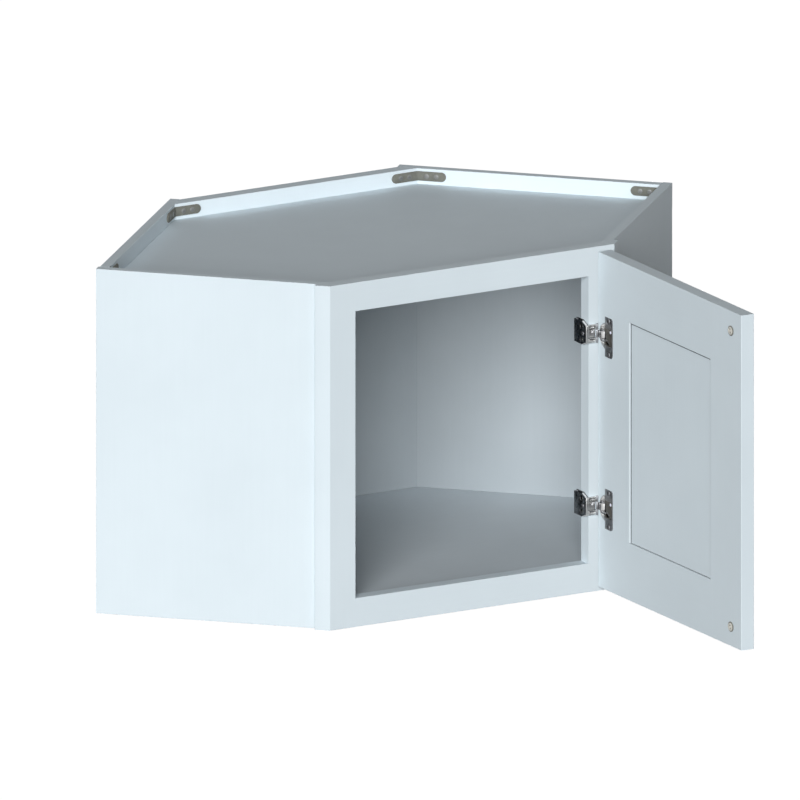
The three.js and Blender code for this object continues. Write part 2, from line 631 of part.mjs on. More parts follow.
// The sunk cup and the flange that is screwed to the door's inner face.
function hingeCup() {
  const shell = cupBar(0, CUP_RIM, CUP_BACK, CUP_RADIUS).subtract(
    cupBar(0, CUP_RIM - FIT, CUP_FLOOR, CUP_RADIUS - CUP_WALL),
  );
  const [left, right] = [FLANGE_X - FLANGE_WIDTH / 2, FLANGE_X + FLANGE_WIDTH / 2];
  const half = FLANGE_HEIGHT / 2;
  const outline = new THREE.Shape();
  outline.moveTo(left, -half);
  outline.lineTo(right - FLANGE_CORNER, -half);
  outline.absarc(right - FLANGE_CORNER, FLANGE_CORNER - half, FLANGE_CORNER, -Math.PI / 2, 0, false);
  outline.lineTo(right, half - FLANGE_CORNER);
  outline.absarc(right - FLANGE_CORNER, half - FLANGE_CORNER, FLANGE_CORNER, 0, Math.PI / 2, false);
  outline.lineTo(left, half);
  const plate = slab(outline, new THREE.Vector3(0, FLANGE_BACK, 0), X, Z, FLANGE_STEEL);
  const neck = cupBar(0, FLANGE_FACE, CUP_RIM + CUP_WALL, CUP_RADIUS).intersect(
    block([left, FLANGE_FACE - FIT, -half], [right + CUP_RADIUS, CUP_RIM + CUP_WALL + FIT, half]),
  );
  const mouth = cupBar(0, FLANGE_FACE - FIT, CUP_RIM + CUP_WALL + FIT, CUP_RADIUS - CUP_WALL);
  const holes = FLANGE_SCREWS.map(([, rise]) =>
    cupScrewBar(rise, FLANGE_FACE - FIT, DOOR_INNER, SCREW_RADIUS + FIT),
  );
  return cutAll(joinAll([shell, plate, neck]), [mouth, ...holes]);
}

function cupScrew(rise) {
  const face = FLANGE_FACE - TIGHT_FIT;
  return joinAll([
    cupScrewBar(rise, face - SCREW_HEAD_HEIGHT, face, SCREW_HEAD_RADIUS),
    cupScrewBar(rise, face - SCREW_HEAD_HEIGHT / 2, DOOR_INNER + SCREW_BITE, SCREW_RADIUS),
  ]);
}

// The moving leaf: a knuckle on the pin, a run over the door's face, and a foot on the cup's floor.
function leaf() {
  const half = LEAF_HEIGHT / 2;
  const runY = FLANGE_BACK - LEAF_STEEL / 2;
  const footY = CUP_FLOOR - FIT - LEAF_STEEL / 2;
  const run = strip(
    [[0, runY], [LEAF_DROP, runY], [LEAF_DROP, footY], [LEAF_DROP + LEAF_FOOT, footY]],
    LEAF_STEEL,
    -half,
    half,
  );
  const axle = (radius, reach) =>
    bar(new THREE.Vector3(0, 0, -reach), new THREE.Vector3(0, 0, reach), radius);
  return run.add(axle(KNUCKLE_RADIUS, half)).subtract(axle(PIN_RADIUS + PIN_CLEARANCE, half + FIT));
}

// The soft-close damper's housing, with a slot for the leaf's foot and the spring.
function damper() {
  const near = DOOR_HINGE_EDGE + DAMPER_INSET;
  const floor = CUP_FLOOR - FIT;
  const face = floor - DAMPER_DEPTH;
  const housing = block([near, face, -DAMPER_HEIGHT / 2], [near + DAMPER_WIDTH, floor, DAMPER_HEIGHT / 2]);
  const slot = block(
    [near - FIT, face - FIT, -DAMPER_SLOT / 2],
    [near + DAMPER_SLOT_WIDTH, floor + FIT, DAMPER_SLOT / 2],
  );
  return housing.subtract(slot);
}

// A folded flat spring between the cup's floor and the leaf.
function spring() {
  const y = CUP_FLOOR - FIT - SPRING_STEEL / 2;
  const start = LEAF_DROP + LEAF_FOOT + FIT;
  const bend = start + SPRING_BASE;
  return strip(
    [[start, y], [bend, y], [bend, y - SPRING_RISE], [bend - SPRING_REACH, y - SPRING_RISE]],
    SPRING_STEEL,
    -SPRING_HEIGHT / 2,
    SPRING_HEIGHT / 2,
  );
}

for (const [levelName, level] of hingeLevels) {
  const half = new THREE.Group();
  half.position.z = level;
  door.add(half);
  piece(half, `${levelName}_hinge_cup`, hingeCup(), "nickel");
  piece(half, `${levelName}_hinge_leaf`, leaf(), "nickel");
  piece(half, `${levelName}_hinge_damper`, damper(), "damper");
  piece(half, `${levelName}_hinge_spring`, spring(), "gunmetal");
  for (const [screwName, rise] of FLANGE_SCREWS) {
    piece(half, `${levelName}_cup_screw_${screwName}`, cupScrew(rise), "screw");
  }
}

const assembly = new THREE.Group();
assembly.name = "corner_wall_cabinet";
assembly.add(cabinet, door);

export default assembly;
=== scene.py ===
"""The painted corner wall cabinet: boards, corner brackets, screws and concealed hinges, with their finishes.

Small parts are drawn in millimetres from what carries them, and placed in metres in the model's frame.
"""
import json
import math
from types import SimpleNamespace as Sizes

import bmesh
import bpy
from mathutils import Matrix, Vector
from mathutils.bvhtree import BVHTree


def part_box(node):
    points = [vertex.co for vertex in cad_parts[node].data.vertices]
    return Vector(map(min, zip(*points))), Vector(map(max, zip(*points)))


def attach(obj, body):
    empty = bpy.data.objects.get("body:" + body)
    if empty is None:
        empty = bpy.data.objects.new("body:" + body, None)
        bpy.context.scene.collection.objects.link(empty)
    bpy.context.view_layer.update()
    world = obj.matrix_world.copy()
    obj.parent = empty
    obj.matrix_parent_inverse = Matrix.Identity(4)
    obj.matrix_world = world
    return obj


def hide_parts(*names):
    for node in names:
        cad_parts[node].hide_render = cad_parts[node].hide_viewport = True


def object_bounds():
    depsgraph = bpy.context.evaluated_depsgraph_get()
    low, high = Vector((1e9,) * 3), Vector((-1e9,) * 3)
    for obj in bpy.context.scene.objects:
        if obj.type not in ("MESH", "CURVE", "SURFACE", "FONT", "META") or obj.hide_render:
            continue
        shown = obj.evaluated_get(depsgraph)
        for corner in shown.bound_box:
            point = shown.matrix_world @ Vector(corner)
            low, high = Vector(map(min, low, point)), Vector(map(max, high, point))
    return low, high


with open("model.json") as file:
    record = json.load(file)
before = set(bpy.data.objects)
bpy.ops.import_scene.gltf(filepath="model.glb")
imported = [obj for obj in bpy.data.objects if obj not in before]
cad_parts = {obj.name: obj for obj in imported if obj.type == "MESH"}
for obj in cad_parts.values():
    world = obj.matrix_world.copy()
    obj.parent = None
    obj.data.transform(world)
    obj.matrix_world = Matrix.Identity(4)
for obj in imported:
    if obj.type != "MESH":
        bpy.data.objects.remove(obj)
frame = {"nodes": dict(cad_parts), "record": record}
cad_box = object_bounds()

MM = 0.001
UP = Vector((0, 0, 1))

# ---- Sizes, in millimetres ----

EASED_EDGE = 0.6  # rounding of a board's long edges
LONG_EDGE = 25  # shorter edges stay as they were cut
TOUCHING = 0.6  # boards this close share an edge, which stays sharp
SHOULDER_GAP = 0.15  # glue line at the rails' shoulders, which filler and paint close
RAIL_HEIGHT = 38.1
DOOR_RAIL = 76.2

BRACKET_ARM = 38.1
BRACKET_WIDTH = 12.2
BRACKET_STEEL = 1.8
BRACKET_BEND = 3.4  # radius on the wood side
BRACKET_SCREWS = (12.7, 25.4)

CHANNEL = Sizes(near=-5.0, far=-0.3, steel=1.2, rear=28.7, nose=-1.2, half=15.2, taller=1.4,
                chamfer=11, rise=4.5)
ACCESS_HOLE = Sizes(radius=4.2, depth=9.5, rise=9)
CAM_DEPTH = 6
STRAP = Sizes(inner=-3.5, outer=9.5, front=-2.7, back=-0.2, half=12.2, web=0.8, recess=5.5)
PAD = Sizes(left=-2.2, near=5.6, wall=1.3, hole_top=10.3, bar_low=6.6, bar_high=9.3)  # the strap's upper pad
TRAY = Sizes(left=-1.6, right=8.5, half=4.9, face=-1.4)  # sunk middle, which the leaf lies over when closed
GLINT_PLUG = Sizes(x=4.6, z=2.1, radius=1.3, rise=0.1)  # pale plug in the tray, a painted highlight for a rivet's glint
TONGUE = Sizes(x=-2.65, end=14, half=5)
PIVOT = (11.6, -1.6)  # from the jamb's face and the frame's front
KNUCKLE_RADIUS = 1.2
KNUCKLE_BORE = 0.85
PIN_RADIUS = 0.7
CAM_HOLE = 2.3
SCREW_HOLE = 2.0

CUP = Sizes(x=20.7, rim=1.6, floor=12.6, back=13.6, radius=17.5, wall=1)
FLANGE = Sizes(left=20, right=39, half=26.5, face=0, back=1.2, corner=5, screw_x=29.5, screw_rise=22.5)
LEAF = Sizes(half=4.8, steel=1.2, bend=9.3, drop=3.6)
MOUTH = Sizes(left=5.2, low=-9.2, high=8.1, corner=4.5)  # the opening in the cup's cover, over the links
WINDOW = Sizes(half=11.5, right=37.6, corner=3)  # the opening in its flange, over the damper
DAMPER = Sizes(left=13.8, lid=18.6, right=37.3, half=11.2, face=0.35, lid_back=1.3, floor=12.3, radius=15.6,
               notch=5.2, notch_end=22.3, well=3.8, wing=9)
SCOOP = Sizes(left=20.8, low=-10.4, right=30.6, high=-5.6, corner=2.3, lip=5.7)
SWITCH = Sizes(x=34.2, z=8.2, radius=1.9, rise=0.9)
LINK = Sizes(left=5.5, low=-8.9, right=18.0, high=7.8, corner=4.2, bar=2.9, inside=5.2, face=1.45)
SPRING = Sizes(steel=0.8, half=3.5, rise=4, start=14.3, base=3, reach=8)
BUMPER_RADIUS = 6.7
PANEL_SHADE_LINE = Sizes(depth=0.15, lap=0.05, side=0.6, top=2.6, bottom=0.1)  # dark line round the door's panel, painted shade; widest at the top, where the top rail's shadow falls


# ---- Finishes ----


class Socket:
    """A node's output. A sum or a product with it adds a Math node."""

    def __init__(self, finish, output):
        self.finish = finish
        self.output = output

    def _maths(self, operation, first, second):
        return self.finish.node("ShaderNodeMath", {"operation": operation}, {0: first, 1: second})

    def __add__(self, other):
        return self._maths("ADD", self, other)

    def __radd__(self, other):
        return self._maths("ADD", other, self)

    def __mul__(self, other):
        return self._maths("MULTIPLY", self, other)

    def __rmul__(self, other):
        return self._maths("MULTIPLY", other, self)

    def at_least(self, other):
        return self._maths("MAXIMUM", self, other)


class Finish:
    """A node tree with one way to add a node: its type, its settings, then its sockets' values or links."""

    def __init__(self, tree):
        self.tree = tree
        tree.nodes.clear()

    def node(self, kind, settings=None, sockets=None, output=0):
        """Adds a node and returns one of its outputs. A list holds several links to one socket."""
        made = self.tree.nodes.new(kind)
        for name, value in (settings or {}).items():
            setattr(made, name, value)
        for name, value in (sockets or {}).items():
            if isinstance(value, Socket):
                value = [value]
            if isinstance(value, list):
                for source in value:
                    self.tree.links.new(source.output, made.inputs[name])
            else:
                made.inputs[name].default_value = value
        return Socket(self, made.outputs[output]) if made.outputs else None

    def speckle(self, per_metre, detail, roughness=0.5, stretch=(1, 1, 1)):
        """Soft noise over the piece, from 0 to 1, with its scale multiplied along each axis by stretch."""
        where = self.node("ShaderNodeTexCoord", output="Object")
        place = self.node("ShaderNodeMapping", {}, {"Vector": where, "Scale": stretch})
        sockets = {"Vector": place, "Scale": per_metre, "Detail": detail, "Roughness": roughness}
        return self.node("ShaderNodeTexNoise", {}, sockets, "Fac")

    def spread(self, value, low, high):
        """The value with low to high drawn out to 0 to 1."""
        sockets = {"Value": value, "From Min": low, "From Max": high}
        return self.node("ShaderNodeMapRange", {"clamp": True}, sockets)

    def blend(self, share, first, second):
        """A colour that goes from the first to the second as share goes from 0 to 1."""
        sockets = {0: share, 6: (*first, 1), 7: (*second, 1)}  # a Mix node's numbered sockets for colours
        return self.node("ShaderNodeMix", {"data_type": "RGBA"}, sockets, 2)

    def relief(self, height, depth):
        """A surface's small ups and downs, depth metres from 0 to 1 of height."""
        sockets = {"Height": height, "Distance": depth, "Strength": 1.0}
        return self.node("ShaderNodeBump", {}, sockets)

    def surface(self, **sockets):
        """The finish's shader, with its sockets named with _ for a space, and the end of the tree."""
        named = {name.replace("_", " "): value for name, value in sockets.items()}
        shader = self.node("ShaderNodeBsdfPrincipled", {}, named)
        self.node("ShaderNodeOutputMaterial", {}, {"Surface": shader})

    def ray(self, kind):
        """1 for the renderer's rays of one kind, such as Camera, and 0 for the rest."""
        return self.node("ShaderNodeLightPath", output=f"Is {kind} Ray")

    def in_view(self):
        """1 where the camera sees the tree's surface, straight or in a gloss."""
        return self.ray("Camera").at_least(self.ray("Glossy")).at_least(self.ray("Transmission"))


def finish_for(name):
    material = bpy.data.materials.new(name)
    material.use_nodes = True
    return material, Finish(material.node_tree)


def colour(red, green, blue):
    """A colour as it is seen on a screen, 0 to 255, as the renderer's linear light."""
    return tuple(((c / 255 + 0.055) / 1.055) ** 2.4 for c in (red, green, blue))


PAINT_WHITE = colour(225, 236, 242)
PAINT_WHITE_DEEP = colour(221, 232, 238)
# Greyer whites for the faces inside the cabinet: painted shade for the dimmer light there.
WALL_PAINTED_SHADE = colour(176, 184, 189)
WALL_PAINTED_SHADE_DEEP = colour(171, 179, 184)
DECK_PAINTED_SHADE = colour(211, 219, 224)
DECK_PAINTED_SHADE_DEEP = colour(206, 214, 219)
PAINT_GLOSS = 0.02  # specular level of the lacquer, whose sheen the photo hardly shows
FIBRE_STRETCH = 0.035  # the grain's scale along the wood as a share of its scale across


def satin_paint(name, grain, light=PAINT_WHITE, deep=PAINT_WHITE_DEEP):
    """Sprayed satin lacquer: a fine ripple, a trace of the wood's grain and a slightly uneven gloss."""
    material, paint = finish_for(name)
    ripple = paint.speckle(420, 2)
    along_grain = tuple(FIBRE_STRETCH if axis == grain else 1 for axis in "xyz")
    fibre = paint.speckle(260, 3, 0.6, along_grain)
    cloud = paint.speckle(7, 3, 0.6)
    tone = paint.spread(cloud * 0.8 + fibre * 0.2, 0.35, 0.68)
    paint.surface(
        Base_Color=paint.blend(tone, deep, light),
        Roughness=0.36 + cloud * 0.12 + ripple * 0.05,
        Normal=paint.relief(ripple * 0.75 + fibre * 0.25, 0.00008),
        IOR=1.45,
        Specular_IOR_Level=PAINT_GLOSS,
    )
    return material


def zinc_plate(name, low, high, rough, metal):
    """Passivated zinc: dull, with soft patches and the fine lines of the rolled strip."""
    material, zinc = finish_for(name)
    patch = zinc.speckle(160, 4, 0.65)
    grit = zinc.speckle(1500, 2)
    tone = zinc.spread(patch * 0.75 + grit * 0.25, 0.34, 0.66)
    zinc.surface(
        Base_Color=zinc.blend(tone, low, high),
        Metallic=metal,
        Roughness=rough + patch * 0.2,
        Normal=zinc.relief(patch * 0.4 + grit * 0.6, 0.00006),
    )
    return material


def plated_steel(name, low, high, rough):
    """Nickel-plated pressed steel: smooth, with faint rubbing marks and soft smears."""
    material, plate = finish_for(name)
    smear = plate.speckle(240, 3, 0.6)
    rub = plate.speckle(2600, 2, stretch=(1, 1, 0.12))
    tone = plate.spread(smear * 0.8 + rub * 0.2, 0.32, 0.68)
    plate.surface(
        Base_Color=plate.blend(tone, low, high),
        Metallic=1.0,
        Roughness=rough + smear * 0.1 + rub * 0.05,
        Normal=plate.relief(smear * 0.3 + rub * 0.7, 0.00002),
    )
    return material


def moulded_plastic(name, low, high, rough):
    """Injection-moulded plastic with a fine matt texture."""
    material, plastic = finish_for(name)
    texture = plastic.speckle(1800, 2)
    cloud = plastic.speckle(120, 2)
    plastic.surface(
        Base_Color=plastic.blend(plastic.spread(cloud, 0.3, 0.7), low, high),
        Roughness=rough + texture * 0.15,
        Normal=plastic.relief(texture, 0.00004),
    )
    return material


def cloudy_film(name, low, high, cloud, rough, uneven, **fixed):
    """Cast gel or thin paint, slightly cloudy in its colour and its gloss."""
    material, film = finish_for(name)
    patch = film.speckle(*cloud)
    film.surface(
        Base_Color=film.blend(film.spread(patch, 0.3, 0.7), low, high),
        Roughness=rough + patch * uneven,
        Normal=film.relief(patch, 0.00005),
        **fixed,
    )
    return material


paint_upright = satin_paint("satin_white_upright_grain", "z")
paint_across = satin_paint("satin_white_level_grain", "x")
paint_door_rail = satin_paint("satin_white_door_rail_grain", "y")
# The inside paints are painted shade: greyer than the outside paint.
inside_upright_painted_shade = satin_paint("inside_wall_white", "z", WALL_PAINTED_SHADE, WALL_PAINTED_SHADE_DEEP)
inside_across_painted_shade = satin_paint("inside_deck_white", "x", DECK_PAINTED_SHADE, DECK_PAINTED_SHADE_DEEP)
bracket_zinc = zinc_plate("dull_zinc_bracket", (0.143, 0.145, 0.126), (0.186, 0.189, 0.164), 0.78, 0.0)
bracket_screw_zinc = zinc_plate("dull_zinc_screw", (0.19, 0.195, 0.19), (0.26, 0.265, 0.26), 0.45, 0.6)
screw_zinc = zinc_plate("zinc_screw", (0.30, 0.30, 0.29), (0.48, 0.48, 0.46), 0.26, 1.0)
bright_nickel = plated_steel("bright_nickel", (0.50, 0.50, 0.50), (0.62, 0.62, 0.61), 0.24)
flange_nickel = plated_steel("flange_nickel", (0.26, 0.265, 0.28), (0.34, 0.345, 0.355), 0.36)
dark_nickel = plated_steel("dark_nickel", (0.20, 0.205, 0.215), (0.28, 0.285, 0.295), 0.2)
dull_nickel = plated_steel("dull_nickel", (0.15, 0.155, 0.165), (0.21, 0.215, 0.225), 0.5)
dark_plastic = moulded_plastic("damper_plastic", (0.060, 0.056, 0.047), (0.088, 0.083, 0.071), 0.4)
# Pale nylon for the strap's plug and packing: a painted highlight and a painted reflection.
pale_nylon = moulded_plastic("pale_nylon", (0.80, 0.82, 0.84), (0.86, 0.88, 0.89), 0.35)
switch_plastic = moulded_plastic("switch_plastic", (0.84, 0.85, 0.98), (0.90, 0.91, 1.0), 0.15)
GEL = dict(cloud=(300, 3), uneven=0.12, IOR=1.46)
bumper_pale = cloudy_film("pale_bumper_gel", colour(196, 194, 186), colour(214, 212, 204), rough=0.25, **GEL)
# The grey bumper gel is painted shade: the clear bumper's dark edge.
bumper_grey_painted_shade = cloudy_film("grey_bumper_gel", colour(108, 108, 101), colour(128, 128, 120), rough=0.3, **GEL)
panel_painted_shade = cloudy_film(  # round the door's panel, where it meets the frame: a dark line of painted shade
    "panel_joint_line", colour(98, 104, 112), colour(118, 124, 132), (180, 4, 0.6), 0.7, 0.2,
    Specular_IOR_Level=PAINT_GLOSS,
)


# ---- Making a piece ----


SHARP_CORNER = math.radians(35)  # edges of a drawn part that turn by more are rounded


def round_edges(shape, edges, radius, segments):
    bmesh.ops.bevel(
        shape, geom=edges, offset=radius, segments=segments, profile=0.5, affect="EDGES", clamp_overlap=True
    )


def add_piece(name, mesh, body, slot, stands_for, smooth=None):
    """Puts a finished mesh in the scene, on its body, in place of the CAD nodes that it stands for."""
    if smooth is not None:
        mesh.set_sharp_from_angle(angle=math.radians(smooth))
    piece = bpy.data.objects.new(name, mesh)
    bpy.context.scene.collection.objects.link(piece)
    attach(piece, body)
    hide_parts(*stands_for)
    return piece


class Part:
    """A piece while it is drawn: closed shapes in millimetres, each with a finish."""

    def __init__(self, *finishes):
        self.mesh = bmesh.new()
        self.finishes = finishes

    def _close(self, shape, finish, bevel=0):
        """Turns a shape's faces outwards, rounds its sharp edges, and adds it to the piece."""
        bmesh.ops.recalc_face_normals(shape, faces=shape.faces[:])
        if bevel:
            edges = [e for e in shape.edges if len(e.link_faces) == 2 and e.calc_face_angle(0) > SHARP_CORNER]
            round_edges(shape, edges, bevel, 2)
        bmesh.ops.recalc_face_normals(shape, faces=shape.faces[:])
        for face in shape.faces:
            face.material_index = self.finishes.index(finish)
            face.smooth = True
        loose = bpy.data.meshes.new("loose")
        shape.to_mesh(loose)
        shape.free()
        self.mesh.from_mesh(loose)
        bpy.data.meshes.remove(loose)

    def plate(self, finish, axis, rings, low, high, bevel=0.2):
        """A flat plate square to an axis. The first ring of points is its outline, the others are holes."""
        point = {"x": lambda u, v: (low, u, v), "y": lambda u, v: (u, low, v), "z": lambda u, v: (u, v, low)}
        shape = bmesh.new()
        edges = []
        for ring in rings:
            points = [shape.verts.new(point[axis](u, v)) for u, v in ring]
            edges += [shape.edges.new((points[i - 1], points[i])) for i in range(len(points))]
        bmesh.ops.triangle_fill(shape, use_beauty=True, use_dissolve=False, edges=edges)
        bmesh.ops.dissolve_limit(shape, angle_limit=0.01, verts=shape.verts[:], edges=shape.edges[:])
        grown = bmesh.ops.extrude_face_region(shape, geom=shape.faces[:])["geom"]
        shift = Vector([high - low if name == axis else 0 for name in "xyz"])
        bmesh.ops.translate(shape, vec=shift, verts=[v for v in grown if isinstance(v, bmesh.types.BMVert)])
        self._close(shape, finish, bevel)

    def block(self, finish, low, high, bevel=0.25):
        (x0, y0, z0), (x1, y1, z1) = low, high
        self.plate(finish, "z", [[(x0, y0), (x1, y0), (x1, y1), (x0, y1)]], z0, z1, bevel)

    def turned(self, finish, centre, axis, profile, sides):
        """A lathed shape about an axis through the centre. The profile holds (radius, height) pairs."""
        shape = bmesh.new()
        turn = {"x": "yz", "y": "zx", "z": "xy"}[axis]
        rings = []
        for radius, height in profile:
            ring = []
            for i in range(sides if radius > 0 else 1):
                angle = 2 * math.pi * i / sides
                point = dict(zip("xyz", centre))
                point[turn[0]] += radius * math.cos(angle)
                point[turn[1]] += radius * math.sin(angle)
                point[axis] += height
                ring.append(shape.verts.new((point["x"], point["y"], point["z"])))
            rings.append(ring)
        for below, above in zip(rings, rings[1:]):
            for i in range(sides):
                if len(below) == 1:
                    shape.faces.new((below[0], above[i], above[i - 1]))
                elif len(above) == 1:
                    shape.faces.new((below[i - 1], below[i], above[0]))
                else:
                    shape.faces.new((below[i - 1], below[i], above[i], above[i - 1]))
        for ring in (rings[0], rings[-1]):
            if len(ring) > 1:
                shape.faces.new(ring)
        self._close(shape, finish)

    def lofted(self, finish, sections):
        """A shape through closed rings of points that all have the same count, with both ends closed."""
        shape = bmesh.new()
        rings = [[shape.verts.new(point) for point in section] for section in sections]
        for below, above in zip(rings, rings[1:]):
            for i in range(len(below)):
                shape.faces.new((below[i - 1], below[i], above[i], above[i - 1]))
        shape.faces.new(rings[0])
        shape.faces.new(rings[-1])
        self._close(shape, finish)

    def ribbon(self, finish, path, thickness, half, bevel=0.15):
        """Strip steel of one thickness bent along a path in the xy plane, from -half to half in z."""
        points = [Vector(point) for point in path]
        left, right = [], []
        for i, point in enumerate(points):
            before = (point - points[i - 1]).normalized() if i else (points[1] - point).normalized()
            after = (points[i + 1] - point).normalized() if i + 1 < len(points) else before
            across = Vector((-(before.y + after.y), before.x + after.x)).normalized()
            reach = thickness / 2 / max(0.3, across.dot(Vector((-before.y, before.x))))
            left.append(point + across * reach)
            right.append(point - across * reach)
        self.plate(finish, "z", [[tuple(p) for p in left + right[::-1]]], -half, half, bevel)

    def finish(self, name, place, body, slot, stands_for, smooth=40):
        bmesh.ops.transform(self.mesh, matrix=place, verts=self.mesh.verts[:])
        mesh = bpy.data.meshes.new(name)
        self.mesh.to_mesh(mesh)
        self.mesh.free()
        for finish in self.finishes:
            mesh.materials.append(finish)
        return add_piece(name, mesh, body, slot, stands_for, smooth)


def arc(centre, radius, start, end, steps):
    """Points on a circle from one angle to another, in degrees."""
    angles = [math.radians(start + (end - start) * i / steps) for i in range(steps + 1)]
    return [(centre[0] + radius * math.cos(a), centre[1] + radius * math.sin(a)) for a in angles]


def circle(centre, radius, sides=24):
    return arc(centre, radius, 0, 360 - 360 / sides, sides - 1)


def rounded(left, low, right, high, radius, steps=4):
    """A rectangle's outline with round corners."""
    corners = ((right, low, -90), (right, high, 0), (left, high, 90), (left, low, 180))
    points = []
    for x, y, start in corners:
        inner = (x - radius if x == right else x + radius, y - radius if y == high else y + radius)
        points += arc(inner, radius, start, start + 90, steps)
    return points


# ---- Boards ----


SAME_POINT = 1e-6  # metres
ON_PLANE = 2e-5  # metres: a corner nearer to a plane than this lies on it


def whole_board(node):
    """A copy of a board's CAD mesh with its triangles joined into whole faces."""
    board = bmesh.new()
    board.from_mesh(frame["nodes"][node].data)
    bmesh.ops.remove_doubles(board, verts=board.verts[:], dist=SAME_POINT)
    bmesh.ops.dissolve_limit(board, angle_limit=math.radians(0.4), verts=board.verts[:], edges=board.edges[:])
    return board


def shift_face(board, point, normal, distance):
    """Moves the board's corners that lie on a plane along its normal, in millimetres."""
    for vertex in board.verts:
        if abs((vertex.co - Vector(point)).dot(normal)) < ON_PLANE:
            vertex.co += normal * distance * MM


def cut_level(board, level):
    """Adds edges to a board where it crosses a level, so that its faces end there."""
    geometry = board.verts[:] + board.edges[:] + board.faces[:]
    bmesh.ops.bisect_plane(board, geom=geometry, dist=ON_PLANE / 2, plane_co=(0, 0, level), plane_no=UP)


def ease_edges(board, neighbours):
    """Rounds the long outer edges that touch no neighbouring board."""
    chosen = []
    for edge in board.edges:
        if len(edge.link_faces) != 2 or not edge.is_convex or edge.calc_face_angle(0) < math.radians(30):
            continue
        if edge.calc_length() < LONG_EDGE * MM:
            continue
        start, end = (v.co for v in edge.verts)
        spots = [start.lerp(end, share) for share in (0.12, 0.3, 0.5, 0.7, 0.88)]
        near = [any(tree.find_nearest(spot, TOUCHING * MM)[0] for tree in neighbours) for spot in spots]
        if sum(near) < 2:
            chosen.append(edge)
    round_edges(board, chosen, EASED_EDGE * MM, 3)


def mark_painted_shade_inside(board, trees):
    """Gives the second, greyer paint, which is painted shade for the dim inside, to the faces that look into
    the space between the top and bottom panels.
    """
    found = False
    for face in board.faces:
        spot = face.calc_center_median() + face.normal * 3 * MM
        above, below = trees["top_panel"].ray_cast(spot, UP), trees["bottom_panel"].ray_cast(spot, -UP)
        if above[0] and below[0]:
            face.material_index = 1
            found = True
    return found


JAMB, FRAME_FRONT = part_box("right_stile")[0].xy
HINGE_AXIS = Vector(frame["record"]["behaviour"]["joints"][0]["pos_m"])
DOOR_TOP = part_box("door_hinge_stile")[1].z
TOP_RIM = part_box("top_rail")[1].z

WALLS = ("left_end_panel", "right_end_panel", "left_back_panel", "right_back_panel", "corner_back_panel")
DECKS = ("bottom_panel", "top_panel")
STILES = ("left_stile", "right_stile")
RAILS = ("bottom_rail", "top_rail")
DOOR_STILES = ("door_hinge_stile", "door_free_stile")
DOOR_RAILS = ("door_bottom_rail", "door_top_rail")
BOARDS = {}
for group, group_body, group_paint in (
    (WALLS, "cabinet", paint_upright),
    (DECKS, "cabinet", paint_across),
    (STILES, "cabinet", paint_upright),
    (RAILS, "cabinet", paint_across),
    (DOOR_STILES, "door", paint_upright),
    (DOOR_RAILS, "door", paint_door_rail),
):
    BOARDS.update(dict.fromkeys(group, (group_body, group_paint)))


def make_boards():
    """The painted boards: joints filled, long edges eased, and the faces inside the cabinet painted greyer as
    painted shade.
    """
    boards = {node: whole_board(node) for node in BOARDS}
    gap = SHOULDER_GAP * MM
    for node in RAILS:
        for side in (-1, 1):
            shift_face(boards[node], (side * (JAMB - gap), 0, 0), Vector((side, 0, 0)), SHOULDER_GAP)
    low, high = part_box("door_hinge_stile")[0].y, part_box("door_free_stile")[1].y
    for node in DOOR_RAILS:
        shift_face(boards[node], (0, low - gap, 0), Vector((0, 1, 0)), SHOULDER_GAP)
        shift_face(boards[node], (0, high + gap, 0), Vector((0, -1, 0)), SHOULDER_GAP)
    rail_edge, door_rail_edge = TOP_RIM - RAIL_HEIGHT * MM, DOOR_TOP - DOOR_RAIL * MM
    for group, levels in (
        (STILES, (-rail_edge, rail_edge)),
        (DOOR_STILES, (-door_rail_edge, door_rail_edge)),
        (WALLS, [corner.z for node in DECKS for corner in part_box(node)]),
    ):
        for node in group:
            for level in levels:
                cut_level(boards[node], level)
    trees = {node: BVHTree.FromBMesh(board) for node, board in boards.items()}
    for node, board in boards.items():
        body, paint = BOARDS[node]
        inside = mark_painted_shade_inside(board, trees)
        ease_edges(board, [trees[other] for other in BOARDS if other != node and BOARDS[other][0] == body])
        mesh = bpy.data.meshes.new(node + "_painted")
        board.to_mesh(mesh)
        board.free()
        mesh.materials.append(paint)
        # Faces inside the cabinet get the greyer paint, which is painted shade.
        if inside:
            mesh.materials.append(inside_across_painted_shade if paint is paint_across else inside_upright_painted_shade)
        painted = add_piece(node + "_painted", mesh, body, "white_paint", [node])
        painted.visible_diffuse = body != "door"  # the open door throws no glare on the frame beside it


def make_door_panel():
    """The door's thin panel, with a dark line of painted shade round it on both faces where it meets the
    frame.
    """
    low, high = (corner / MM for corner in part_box("door_panel"))
    left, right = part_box("door_free_stile")[1].y / MM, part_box("door_hinge_stile")[0].y / MM
    rise = DOOR_TOP / MM - DOOR_RAIL
    depth, lap, side = PANEL_SHADE_LINE.depth, PANEL_SHADE_LINE.lap, PANEL_SHADE_LINE.side
    bottom, top = PANEL_SHADE_LINE.bottom - rise, rise - PANEL_SHADE_LINE.top
    field = [(left + side, bottom), (right - side, bottom), (right - side, top), (left + side, top)]
    part = Part(paint_upright, panel_painted_shade)
    # The core shows in the narrow strip round the field as the dark line of painted shade.
    part.block(panel_painted_shade, (low.x + depth, low.y, low.z), (high.x - depth, high.y, high.z), bevel=0)
    part.plate(paint_upright, "x", [field], low.x, low.x + depth + lap, bevel=0)
    part.plate(paint_upright, "x", [field], high.x - depth - lap, high.x, bevel=0)
    piece = part.finish("door_panel_painted", Matrix.Scale(MM, 4), "door", "white_paint", ["door_panel"], 30)
    piece.visible_diffuse = False


make_boards()
make_door_panel()

# ---- Screws ----

TURN_STEP = 0.83  # radians from one screw's recess to the next one's
SKIRT_LAP = 0.00002  # metres that a head's tapered skirt reaches into its dome


